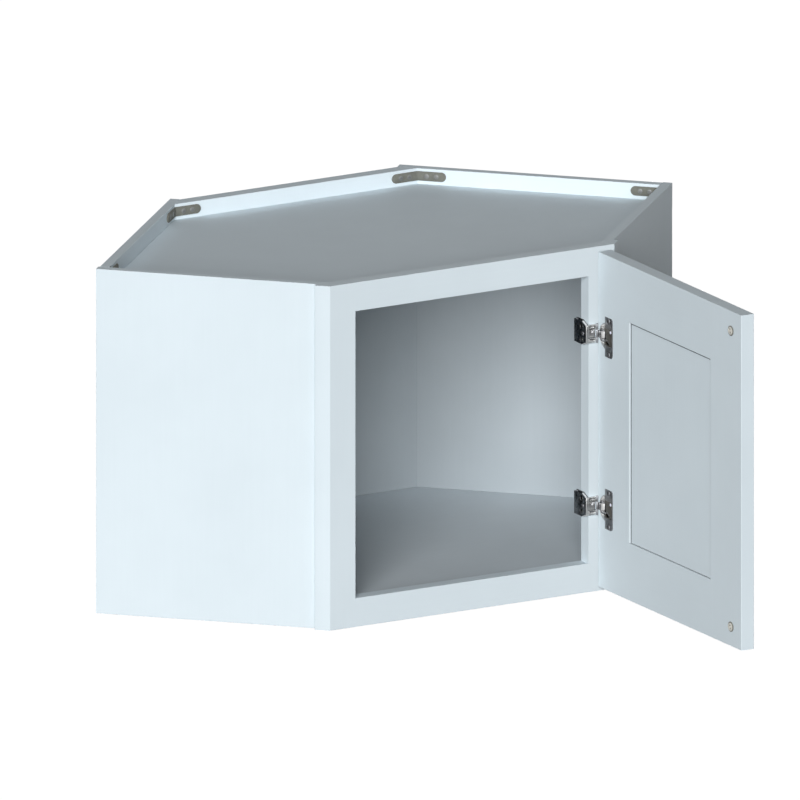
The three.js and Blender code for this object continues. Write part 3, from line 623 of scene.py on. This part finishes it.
def screw_tree(name, finish):
    """One cross-recess screw with its named sizes, set on every point along the point's own axis."""
    tree = bpy.data.node_groups.new(name, "GeometryNodeTree")
    tree.interface.new_socket("Geometry", in_out="INPUT", socket_type="NodeSocketGeometry")
    for size in ("Head Radius", "Head Rise", "Head Sink", "Recess Depth", "Shank Radius", "Shank Length"):
        tree.interface.new_socket(size, in_out="INPUT", socket_type="NodeSocketFloat")
    tree.interface.new_socket("Geometry", in_out="OUTPUT", socket_type="NodeSocketGeometry")
    node = Finish(tree).node

    def given(name):
        return node("NodeGroupInput", output=name)

    def on_point(attribute):
        return node("GeometryNodeInputNamedAttribute", {"data_type": "FLOAT_VECTOR"}, {"Name": attribute})

    def vector(x, y, z):
        return node("ShaderNodeCombineXYZ", {}, {0: x, 1: y, 2: z})

    def box(x, y, z):
        return node("GeometryNodeMeshCube", {}, {"Size": vector(x, y, z)})

    def moved(geometry, place, turn=(0, 0, 0), scale=(1, 1, 1)):
        sockets = {"Geometry": geometry, "Translation": place, "Rotation": turn, "Scale": scale}
        return node("GeometryNodeTransform", {}, sockets)

    def cut_away(shape, tool):
        settings = {"operation": "DIFFERENCE", "solver": "EXACT"}
        return node("GeometryNodeMeshBoolean", settings, {0: shape, 1: tool})

    radius, rise, sink, length = map(given, ("Head Radius", "Head Rise", "Head Sink", "Shank Length"))
    ball = node("GeometryNodeMeshUVSphere", {}, {"Segments": 24, "Rings": 12, "Radius": 1.0})
    dome = moved(ball, (0, 0, 0), scale=vector(radius, radius, rise))
    head = cut_away(dome, moved(box(radius * 4.0, radius * 4.0, rise * 4.0), vector(0.0, 0.0, rise * -2.0)))
    for turn in (0, math.pi / 2):
        slot = box(radius * 1.15, radius * 0.26, given("Recess Depth") * 2.0)
        head = cut_away(head, moved(slot, vector(0.0, 0.0, rise), (0, 0, turn)))
    depth = sink + SKIRT_LAP
    sockets = {"Vertices": 24, "Radius Top": radius, "Radius Bottom": radius * 0.55, "Depth": depth}
    skirt = moved(node("GeometryNodeMeshCone", {}, sockets), vector(0.0, 0.0, sink * -1.0))
    sockets = {"Vertices": 16, "Radius": given("Shank Radius"), "Depth": length}
    shank = moved(node("GeometryNodeMeshCylinder", {}, sockets), vector(0.0, 0.0, length * -0.5))
    whole = node("GeometryNodeJoinGeometry", {}, {0: [shank, skirt, head]})
    sockets = {"Vector": on_point("screw_axis"), "Rotation": on_point("screw_turn")}
    aimed = node("FunctionNodeAlignRotationToVector", {"axis": "Z"}, sockets)
    sockets = {"Points": given("Geometry"), "Instance": whole, "Rotation": aimed}
    real = node("GeometryNodeRealizeInstances", {}, {0: node("GeometryNodeInstanceOnPoints", {}, sockets)})
    finished = node("GeometryNodeSetMaterial", {}, {"Geometry": real, "Material": finish})
    node("NodeGroupOutput", {}, {0: finished})
    return tree


def make_screws(name, finish, spots, body, stands_for, **sizes):
    """Screws on (seat, axis) spots, in metres, each turned a little differently, as a driver leaves it."""
    mesh = bpy.data.meshes.new(name)
    mesh.from_pydata([spot for spot, _ in spots], [], [])
    axes = mesh.attributes.new("screw_axis", "FLOAT_VECTOR", "POINT")
    turns = mesh.attributes.new("screw_turn", "FLOAT_VECTOR", "POINT")
    for i, (_, axis) in enumerate(spots):
        axes.data[i].vector = axis
        turns.data[i].vector = (0, 0, i * TURN_STEP % (math.pi / 2))
    holder = bpy.data.objects.new(name + "_spots", mesh)
    bpy.context.scene.collection.objects.link(holder)
    modifier = holder.modifiers.new("screws", "NODES")
    modifier.node_group = screw_tree(name, finish)
    for socket in modifier.node_group.interface.items_tree:
        size = socket.name.lower().replace(" ", "_")
        if size in sizes:
            modifier[socket.identifier] = sizes[size] * MM
    graph = bpy.context.evaluated_depsgraph_get()
    plain = bpy.data.meshes.new_from_object(holder.evaluated_get(graph))
    plain.name = name
    bpy.data.objects.remove(holder)
    plain.shade_smooth()
    add_piece(name, plain, body, "zinc_screw", stands_for, 30)


# ---- Corner brackets ----


def bracket_corners():
    """Each bracket's name, with the directions in which its two arms leave its corner."""
    found = []
    for side_name, side in (("left", -1), ("right", 1)):
        outwards = Vector((side, -1, 0)).normalized()
        forwards = Vector((-side, -1, 0)).normalized()
        corners = {"end": (-outwards, forwards), "corner": (outwards, Vector((-side, 0, 0)))}
        for corner_name, arms in corners.items():
            found += [(f"{side_name}_{corner_name}_bracket_{level}", arms) for level in ("bottom", "top")]
    return found


def bend_point(node, arms):
    """Where the wood side of a bracket's two arms would meet, from the farthest corners of its CAD node."""
    inward = [(arms[1 - i] - arms[i] * arms[i].dot(arms[1 - i])).normalized() for i in (0, 1)]
    corners = [v.co for v in frame["nodes"][node].data.vertices]
    middle = (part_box(node)[0].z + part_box(node)[1].z) / 2
    levels = []
    for arm, facing in zip(arms, inward):
        end = max(c.dot(arm) for c in corners)
        levels.append(min(c.dot(facing) for c in corners if c.dot(arm) > end - 2 * MM))
    meeting = Matrix((inward[0].xy, inward[1].xy)).inverted() @ Vector(levels)
    return Vector((*meeting, middle)), inward


def make_bracket(node, arms):
    """A strip with half-round ends, bent round the corner, and the seats of its four screws."""
    bend, inward = bend_point(node, arms)
    turn = math.pi - arms[0].angle(arms[1])
    tangent = BRACKET_BEND * math.tan(turn / 2)
    length = BRACKET_BEND * turn
    reach = BRACKET_ARM - tangent + length / 2
    half = BRACKET_WIDTH / 2
    centre = arms[0] * tangent + inward[0] * BRACKET_BEND

    def spot(u, w):
        """A point u along the strip from the middle of its bend, and w out from the wood."""
        if abs(u) > length / 2:
            i = 0 if u < 0 else 1
            return arms[i] * (tangent + abs(u) - length / 2) + inward[i] * w
        share = (u + length / 2) / length
        first, second = math.sin((1 - share) * turn), math.sin(share * turn)
        facing = (first * inward[0] + second * inward[1]) / math.sin(turn)
        return centre - facing * (BRACKET_BEND - w)

    ends = [reach - half * (1 - math.cos(math.radians(a))) for a in range(8, 91, 9)]
    bends = [length / 2 * i / 6 for i in range(7)]
    between = [9, 19]  # sections along the straight arms
    steps = sorted({round(s, 5) for s in ends + bends + between})
    steps = [-s for s in steps[::-1] if s] + steps
    sections = []
    for u in steps:
        over = max(0.0, abs(u) - (reach - half))
        rise = math.sqrt(max(0.0, half**2 - over**2))
        soft = min(0.35, rise / 2)
        edge = [(0, rise - soft), (0.25, rise), (BRACKET_STEEL - soft, rise), (BRACKET_STEEL, rise - soft)]
        ring = [(w, -v) for w, v in edge] + edge[::-1]
        sections.append([spot(u, w) + UP * v for w, v in ring])
    part = Part(bracket_zinc)
    part.lofted(bracket_zinc, sections)
    place = Matrix.Translation(bend) @ Matrix.Scale(MM, 4)
    part.finish(node + "_strip", place, "cabinet", "zinc_bracket", [node], 50)
    seats = []
    for i in (0, 1):
        for distance in BRACKET_SCREWS:
            seats.append((bend + (arms[i] * distance + inward[i] * BRACKET_STEEL) * MM, inward[i]))
    return seats


bracket_seats = [seat for node, arms in bracket_corners() for seat in make_bracket(node, arms)]
make_screws(
    "bracket_screws", bracket_screw_zinc, bracket_seats, "cabinet", [node for node, _ in bracket_corners()],
    head_radius=3.3, head_rise=0.5, head_sink=0.8, recess_depth=0.9, shank_radius=1.7, shank_length=9,
)


# ---- Hinges ----

DOOR_TURN = Matrix.Rotation(math.radians(-90), 4, "Z")


def jamb_place(level):
    """On the jamb: x away from the opening, y back from the frame's front, z up from the hinge's middle."""
    return Matrix.Translation((JAMB, FRAME_FRONT, level)) @ Matrix.Scale(MM, 4)


def door_place(level):
    """On the door: x from the pivot to the free edge, y from inner to outer face, z as on the jamb."""
    return Matrix.Translation((HINGE_AXIS.x, HINGE_AXIS.y, level)) @ DOOR_TURN @ Matrix.Scale(MM, 4)


def knuckle(low, high):
    """The profile of a knuckle between two heights on the pin, with eased ends."""
    eased = KNUCKLE_RADIUS - 0.1
    rise = [(KNUCKLE_BORE, low), (eased, low), (KNUCKLE_RADIUS, low + 0.15)]
    return rise + [(KNUCKLE_RADIUS, high - 0.15), (eased, high), (KNUCKLE_BORE, high)]


def make_channel(name, place):
    """The folded base on the jamb: two cheeks with cut corners and a web at the rear."""
    near, far, steel = CHANNEL.near, CHANNEL.far, CHANNEL.steel
    rear, half = CHANNEL.rear, CHANNEL.half
    part = Part(dark_nickel)

    def cheek(nose, taller=0):
        top, chamfer, rise = half + taller, nose + CHANNEL.chamfer, half + taller - CHANNEL.rise
        return [(rear, -top), (rear, top), (chamfer, top), (nose, rise), (nose, -rise), (chamfer, -top)]

    depth, rise = ACCESS_HOLE.depth, ACCESS_HOLE.rise
    holes = [circle((depth, side * rise), ACCESS_HOLE.radius) for side in (-1, 1)]
    cam = circle((CAM_DEPTH, 0), CAM_HOLE, 20)
    part.plate(dark_nickel, "x", [cheek(CHANNEL.nose), *holes, cam], near, near + steel, bevel=0.25)
    screws = [circle((depth, side * rise), SCREW_HOLE, 12) for side in (-1, 1)]
    part.plate(dark_nickel, "x", [cheek(0.3, CHANNEL.taller), *screws], far - steel, far, bevel=0.25)
    part.block(dark_nickel, (near + 0.2, rear - steel, -half + 0.2), (far - 0.2, rear, half - 0.2), bevel=0.2)
    part.finish(name + "_folded", place, "cabinet", "dark_nickel", [name])


def make_strap(name, place):
    """The bright strap before the frame: two pads, a sunk middle with a pale plug, knuckles, a tongue and its
    packing; the plug is a painted highlight and the pale packing a painted reflection.
    """
    inner, outer, front, back = STRAP.inner, STRAP.outer, STRAP.front, STRAP.back
    half, recess = STRAP.half, STRAP.recess
    web = back - STRAP.web
    part = Part(bright_nickel, dark_nickel, flange_nickel, pale_nylon)
    part.block(dark_nickel, (inner, web, -half + 0.1), (outer - 0.1, back, half - 0.1), bevel=0.15)
    left, near, wall = PAD.left, PAD.near, PAD.wall
    upper = rounded(left, near, outer, half, 0.9)
    hole = rounded(left + wall + 0.6, near + 0.5, outer - wall, PAD.hole_top, 0.8)
    part.plate(bright_nickel, "y", [upper, hole], front, web + 0.1, bevel=0.3)
    bar = rounded(left + wall + 1.3, PAD.bar_low, outer - wall - 0.7, PAD.bar_high, 1.1)
    part.plate(bright_nickel, "y", [bar], front, web + 0.1, bevel=0.7)
    lower = rounded(left, -half, outer, -near, 0.9)
    slot = rounded(left + wall + 1, -near - 2.2, outer - wall - 0.5, -near - 0.9, 0.5, 3)
    part.plate(bright_nickel, "y", [lower, slot], front, web + 0.1, bevel=0.3)
    tray = rounded(TRAY.left, -TRAY.half, TRAY.right, TRAY.half, 1.2)
    part.plate(bright_nickel, "y", [tray], TRAY.face, web + 0.1, bevel=0.15)
    # A pale plug in the tray: a painted highlight for the rivet's glint.
    radius, rise = GLINT_PLUG.radius, GLINT_PLUG.rise
    head = [(radius, 0.1), (radius, -0.2 * rise), (0.8 * radius, -0.9 * rise), (0, -rise)]
    part.turned(pale_nylon, (GLINT_PLUG.x, TRAY.face, GLINT_PLUG.z), "y", head, sides=20)
    nose, cut = CHANNEL.nose + 0.2, CHANNEL.nose + CHANNEL.chamfer
    top, level = CHANNEL.half, CHANNEL.half - CHANNEL.rise
    for side in (-1, 1):
        low, high = sorted((side * recess, side * half))
        bridge = rounded(outer - 1.2, PIVOT[1] - 0.65, PIVOT[0], PIVOT[1] + 0.65, 0.3, 2)
        part.plate(flange_nickel, "z", [bridge], low, high, bevel=0.12)
        part.turned(flange_nickel, (*PIVOT, 0), "z", knuckle(low, high), sides=20)
        # The pale packing between the cheeks is a painted reflection: the bright sliver seen there.
        reflection_packing = [(nose, level - 0.7), (nose, level + 0.6), (cut, top + 0.6), (cut, top - 0.7)]
        reflection_packing = [(y, side * z) for y, z in reflection_packing]
        part.plate(pale_nylon, "x", [reflection_packing], CHANNEL.near + 1.25, CHANNEL.far - 1.25, bevel=0.1)
    lip = rounded(CHANNEL.near, front, inner + 1.4, CHANNEL.nose - 0.3, 0.45, 3)
    part.plate(bright_nickel, "z", [lip], -half, half, bevel=0.3)
    tongue = rounded(web, -TONGUE.half, TONGUE.end, TONGUE.half, 0.8, 3)
    cam = circle((CAM_DEPTH, 0), CAM_HOLE, 20)
    part.plate(bright_nickel, "x", [tongue, cam], TONGUE.x - 0.55, TONGUE.x + 0.55, bevel=0.1)
    part.finish(name + "_pressed", place, "cabinet", "bright_nickel", [name])


def make_pin(name, place):
    """The pin through the knuckles, with its two riveted heads."""
    half = STRAP.half + 0.15
    head = [(0, -half - 0.6), (0.8, -half - 0.55), (1.15, -half - 0.25), (1.15, -half)]
    profile = head + [(PIN_RADIUS, -half), (PIN_RADIUS, half)] + [(r, -h) for r, h in head[::-1]]
    part = Part(flange_nickel)
    part.turned(flange_nickel, (*PIVOT, 0), "z", profile, sides=20)
    part.finish(name + "_riveted", place, "cabinet", "bright_nickel", [name])


def make_cup(name, place):
    """The pressed cup: a round well in the door, a cover with the mouth, and a flange with two holes."""
    x, radius, wall, rim = CUP.x, CUP.radius, CUP.wall, CUP.rim
    face, back = FLANGE.face, FLANGE.back
    part = Part(flange_nickel, dark_nickel, bright_nickel)
    inside, floor, under = radius - wall, CUP.floor, CUP.back
    shell = [(0, floor), (inside - 1.2, floor), (inside - 0.35, floor - 0.35), (inside, floor - 1.2)]
    shell += [(inside, rim), (radius - 0.1, rim), (radius - 0.1, under - 0.6), (radius - 0.6, under)]
    part.turned(dark_nickel, (x, 0, 0), "y", [*shell, (0, under)], sides=64)
    left, low, high, corner = MOUTH.left, MOUTH.low, MOUTH.high, MOUTH.corner
    cover = [*arc((x, 0), radius - 0.1, 270, 90, 40), (x, high)]
    cover += arc((left + corner, high - corner), corner, 90, 180, 8)
    cover += [*arc((left + corner, low + corner), corner, 180, 270, 8), (x, low)]
    part.plate(bright_nickel, "y", [cover], rim - 0.2, rim + 0.8, bevel=0.25)
    edge, right, half, corner = FLANGE.left, FLANGE.right, FLANGE.half, FLANGE.corner
    outline = [(edge, -half), *arc((right - corner, corner - half), corner, -90, 0, 8)]
    outline += [*arc((right - corner, half - corner), corner, 0, 90, 8), (edge, half), (edge, WINDOW.half)]
    corner, inside = WINDOW.corner, WINDOW.half - WINDOW.corner
    outline += arc((WINDOW.right - corner, inside), corner, 90, 0, 6)
    outline += [*arc((WINDOW.right - corner, -inside), corner, 0, -90, 6), (edge, -WINDOW.half)]
    holes = [circle((FLANGE.screw_x, side * FLANGE.screw_rise), SCREW_HOLE, 16) for side in (-1, 1)]
    part.plate(flange_nickel, "y", [outline, *holes], face, back, bevel=0.3)
    step = [(edge - 1.4, rim - 0.2), (edge - 1, rim - 0.2), (edge + 0.2, face), (edge + 0.6, face)]
    step += [(edge + 0.6, back), (edge + 0.3, back), (edge - 0.8, rim + 0.8), (edge - 1.4, rim + 0.8)]
    for side in (-1, 1):
        low, high = sorted((side * WINDOW.half, side * (radius - 1.8)))
        part.plate(flange_nickel, "z", [step], low, high, bevel=0.1)
    part.finish(name + "_pressed", place, "door", "bright_nickel", [name])


def make_leaf(name, place):
    """The moving leaf: a knuckle on the pin, a dark arm, a bright tongue in the cup and the links' frame."""
    half, steel = LEAF.half, LEAF.steel
    run = FLANGE.back - steel / 2
    foot = CUP.floor - 0.3 - steel / 2
    bend, drop = LEAF.bend, LEAF.drop
    part = Part(bright_nickel, dark_nickel, flange_nickel)
    part.ribbon(dark_nickel, [(0.6, run), (bend - 0.4, run), (bend, run + 0.25)], steel, half, bevel=0.15)
    tongue = [(bend - 0.1, run + 0.2), (bend + 4, run + drop), (bend + 4.6, run + drop + 1),
              (bend + 4.6, foot)]
    part.ribbon(bright_nickel, tongue, steel, half, bevel=0.15)
    left, low, right, high = LINK.left, LINK.low, LINK.right, LINK.high
    hole = rounded(left + LINK.bar, -LINK.inside, right - 1, LINK.inside, 0.8, 3)
    links = rounded(left, low, right, high, LINK.corner, 6)
    part.plate(dark_nickel, "y", [links, hole], LINK.face, LINK.face + 1.0, bevel=0.2)
    for start, end in ((low, -LINK.inside), (LINK.inside, high)):
        part.block(dark_nickel, (right - 4, LINK.face + 0.8, start), (right, 6, end), bevel=0.2)
    part.turned(flange_nickel, (0, 0, 0), "z", knuckle(-half, half), sides=20)
    part.finish(name + "_bent", place, "door", "bright_nickel", [name])


def make_damper(name, place):
    """The soft-close housing: a lid with a scoop and a switch in the flange's window, over a body."""
    lid, right, half = DAMPER.lid, DAMPER.right, DAMPER.half
    face, back, floor = DAMPER.face, DAMPER.lid_back, DAMPER.floor
    notch, notch_end = DAMPER.notch, DAMPER.notch_end
    part = Part(dark_plastic, switch_plastic, flange_nickel)
    outline = [(lid, -half), *arc((right - 2.8, 2.8 - half), 2.8, -90, 0, 6)]
    outline += [*arc((right - 2.8, half - 2.8), 2.8, 0, 90, 6), (lid, half)]
    outline += [(lid, notch), (notch_end, notch), (notch_end, -notch), (lid, -notch)]
    scoop = rounded(SCOOP.left, SCOOP.low, SCOOP.right, SCOOP.high, SCOOP.corner, 5)
    part.plate(dark_plastic, "y", [outline, scoop], face, back, bevel=0.25)
    wing = DAMPER.wing
    edge = math.degrees(math.asin(wing / DAMPER.radius))
    body = [(DAMPER.left, -wing), *arc((CUP.x, 0), DAMPER.radius, -edge, edge, 12)]
    body += [(DAMPER.left, wing), (DAMPER.left, notch), (notch_end, notch)]
    body += [(notch_end, -notch), (DAMPER.left, -notch)]
    part.plate(dark_plastic, "y", [body], DAMPER.well, floor, bevel=0.3)
    middle = ((SCOOP.left + SCOOP.right) / 2, SCOOP.high - 3.6)
    lip = arc(middle, SCOOP.lip, 158, 22, 14) + arc(middle, SCOOP.lip - 1.1, 22, 158, 14)
    part.plate(flange_nickel, "y", [lip], face - 0.45, face + 0.1, bevel=0.2)
    radius, rise = SWITCH.radius, SWITCH.rise
    dome = [(radius, 0.3), (radius, -0.5 * rise), (0.8 * radius, -0.85 * rise), (0.4 * radius, -rise),
            (0, -rise)]
    part.turned(switch_plastic, (SWITCH.x, face, SWITCH.z), "y", dome, sides=24)
    part.finish(name + "_moulded", place, "door", "dark_plastic", [name])


def make_spring(name, place):
    """The flat closing spring, folded back over itself."""
    steel, start, base = SPRING.steel, SPRING.start, SPRING.base
    y = CUP.floor - 0.3 - steel / 2
    bend, top = start + base, y - SPRING.rise
    path = [(start, y), (bend - 1, y), (bend - 0.3, y - 0.3), (bend, y - 1), (bend, top + 1)]
    path += [(bend - 0.3, top + 0.3), (bend - 1, top), (bend - SPRING.reach, top)]
    part = Part(dark_nickel)
    part.ribbon(dark_nickel, path, steel, SPRING.half, bevel=0.12)
    part.finish(name + "_folded", place, "door", "dark_nickel", [name])


def screw_nodes(kind):
    return [f"{where}_{kind}_screw_{end}" for where in ("lower", "upper") for end in ("low", "high")]


jamb_seats, cam_seats, cup_seats = [], [], []
away = Vector((-1, 0, 0))  # off the jamb, and off the open door's inner face
for where in ("lower", "upper"):
    hinge = f"{where}_hinge"
    low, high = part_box(f"{hinge}_channel")
    level = (low.z + high.z) / 2
    on_jamb, on_door = jamb_place(level), door_place(level)
    make_channel(f"{hinge}_channel", on_jamb)
    make_strap(f"{hinge}_strap", on_jamb)
    make_pin(f"{hinge}_pin", on_jamb)
    make_cup(f"{hinge}_cup", on_door)
    make_leaf(f"{hinge}_leaf", on_door)
    make_damper(f"{hinge}_damper", on_door)
    make_spring(f"{hinge}_spring", on_door)
    cam_seats.append((on_jamb @ Vector((CHANNEL.near - 0.15, CAM_DEPTH, 0)), away))
    for side in (-1, 1):
        seat = (CHANNEL.far - CHANNEL.steel - 0.15, ACCESS_HOLE.depth, side * ACCESS_HOLE.rise)
        jamb_seats.append((on_jamb @ Vector(seat), away))
        seat = (FLANGE.screw_x, FLANGE.face - 0.15, side * FLANGE.screw_rise)
        cup_seats.append((on_door @ Vector(seat), away))

pan_head = dict(head_radius=3.9, head_rise=1.5, head_sink=0.02, recess_depth=1.2)
wood_shank = dict(shank_radius=1.7, shank_length=10.5)
make_screws("jamb_screws", screw_zinc, jamb_seats, "cabinet", screw_nodes("jamb"), **pan_head, **wood_shank)
make_screws(
    "cam_screws", dull_nickel, cam_seats, "cabinet", ["lower_hinge_cam_screw", "upper_hinge_cam_screw"],
    **{**pan_head, "head_radius": 3.0}, shank_radius=2.0, shank_length=3.2,
)
make_screws("cup_screws", dull_nickel, cup_seats, "door", screw_nodes("cup"), **pan_head, **wood_shank)


# ---- Bumpers ----


def make_bumper(node):
    """A moulded bumper on the door's inner face: a grey foot and groove, whose grey is painted shade for the
    clear gel's dark edge, a pale ring and a pale nub.
    """
    radius = BUMPER_RADIUS
    part = Part(bumper_grey_painted_shade, bumper_pale)
    # The foot's grey is painted shade: the clear gel's dark edge.
    foot = [(0, 0.0), (radius - 0.1, 0.0), (radius, -0.15), (radius - 0.1, -0.7), (radius - 0.9, -1.1),
            (0, -1.1)]
    part.turned(bumper_grey_painted_shade, (0, 0, 0), "x", foot, sides=40)
    ring = [(0, -1.0), (2.7, -1.0), (2.8, -1.7), (3.3, -2.0), (4.2, -1.95), (5.1, -1.5), (radius - 1.0, -0.8)]
    part.turned(bumper_pale, (0, 0, 0), "x", ring, sides=40)
    nub = [(1.7, -1.0), (1.6, -1.9), (1.1, -2.3), (0, -2.4)]
    part.turned(bumper_pale, (0, 0, 0), "x", nub, sides=24)
    low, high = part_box(node)
    place = Matrix.Translation((high.x, (low.y + high.y) / 2, (low.z + high.z) / 2)) @ Matrix.Scale(MM, 4)
    part.finish(node + "_domed", place, "door", "clear_bumper", [node])


make_bumper("lower_bumper")
make_bumper("upper_bumper")

# ---- Studio ----

FLOOR_DROP = 1.37  # the cabinet hangs this far above the floor
FLOOR_REACH = 14
KEY_FROM = (-0.564, -0.772, 0.292)
VIEW_MIDDLE = Vector((0.1162, -0.0843, -0.0555))
VIEW_WIDTH = 1.02585  # metres across the picture
VIEW_DISTANCE = 4


def make_floor():
    """A pale floor, white to the camera but for the cabinet's faint shadow, and open from below."""
    level = cad_box[0].z - FLOOR_DROP
    mesh = bpy.data.meshes.new("studio_floor")
    corners = [(x * FLOOR_REACH, y * FLOOR_REACH, level) for x, y in ((-1, -1), (1, -1), (1, 1), (-1, 1))]
    mesh.from_pydata(corners, [], [(0, 1, 2, 3)])
    material, ground = finish_for("studio_floor_white")
    glow = ground.node("ShaderNodeEmission", {}, {"Color": (1, 1, 1, 1), "Strength": 0.86})
    pale = ground.node("ShaderNodeBsdfDiffuse", {}, {"Color": (0.5, 0.5, 0.5, 1)})
    dim = ground.node("ShaderNodeBsdfDiffuse", {}, {"Color": (0.1, 0.1, 0.1, 1)})
    shown = ground.node("ShaderNodeAddShader", {}, {0: glow, 1: pale})
    both = ground.node("ShaderNodeMixShader", {}, {0: ground.in_view(), 1: dim, 2: shown})
    under = ground.node("ShaderNodeNewGeometry", output="Backfacing")
    passed = under.at_least(ground.ray("Shadow"))  # the low lamp shines through it
    clear = ground.node("ShaderNodeBsdfTransparent")
    shader = ground.node("ShaderNodeMixShader", {}, {0: passed, 1: both, 2: clear})
    ground.node("ShaderNodeOutputMaterial", {}, {"Surface": shader})
    mesh.materials.append(material)
    floor = bpy.data.objects.new("studio_floor", mesh)
    bpy.context.scene.collection.objects.link(floor)


def make_world():
    """White where the camera or a gloss sees it, and a dim cool light everywhere else."""
    world = bpy.data.worlds.new("studio")
    world.use_nodes = True
    bpy.context.scene.world = world
    sky = Finish(world.node_tree)
    dim = sky.node("ShaderNodeBackground", {}, {"Color": (0.92, 0.97, 1.0, 1), "Strength": 0.03})
    white = sky.node("ShaderNodeBackground", {}, {"Color": (1, 1, 1, 1), "Strength": 1.0})
    shader = sky.node("ShaderNodeMixShader", {}, {0: sky.in_view(), 1: dim, 2: white})
    sky.node("ShaderNodeOutputWorld", {}, {"Surface": shader})


def make_lamp(name, towards, strength, spread, tint=(1, 1, 1)):
    """A distant lamp that shines from a direction, soft over spread degrees."""
    light = bpy.data.lights.new(name, "SUN")
    light.energy = strength
    light.angle = math.radians(spread)
    light.color = tint
    lamp = bpy.data.objects.new(name, light)
    lamp.rotation_mode = "QUATERNION"
    lamp.rotation_quaternion = Vector(towards).to_track_quat("Z", "Y")
    bpy.context.scene.collection.objects.link(lamp)


def make_camera():
    """The photo's view: no perspective, from 30 degrees left of the front and 15 degrees above."""
    left, up = math.radians(30), math.radians(15)
    back = Vector((-math.sin(left) * math.cos(up), -math.cos(left) * math.cos(up), math.sin(up)))
    data = bpy.data.cameras.new("camera")
    data.type = "ORTHO"
    data.ortho_scale = VIEW_WIDTH
    data.clip_end = 60
    camera = bpy.data.objects.new("camera", data)
    camera.location = VIEW_MIDDLE + back * VIEW_DISTANCE
    camera.rotation_mode = "QUATERNION"
    camera.rotation_quaternion = back.to_track_quat("Z", "Y")
    bpy.context.scene.collection.objects.link(camera)
    bpy.context.scene.camera = camera


make_floor()
make_world()
make_lamp("key_lamp", KEY_FROM, 3.46, 34, (0.985, 0.995, 1.0))
make_lamp("rear_fill", (0.42, 0.9, -0.32), 2.1, 34)
make_lamp("side_fill", (0.95, 0.3, 0.0), 0.34, 40)
make_lamp("low_fill", (0.15, 0.42, -0.9), 1.4, 50)
make_camera()
bpy.context.scene.view_settings.view_transform = "Standard"
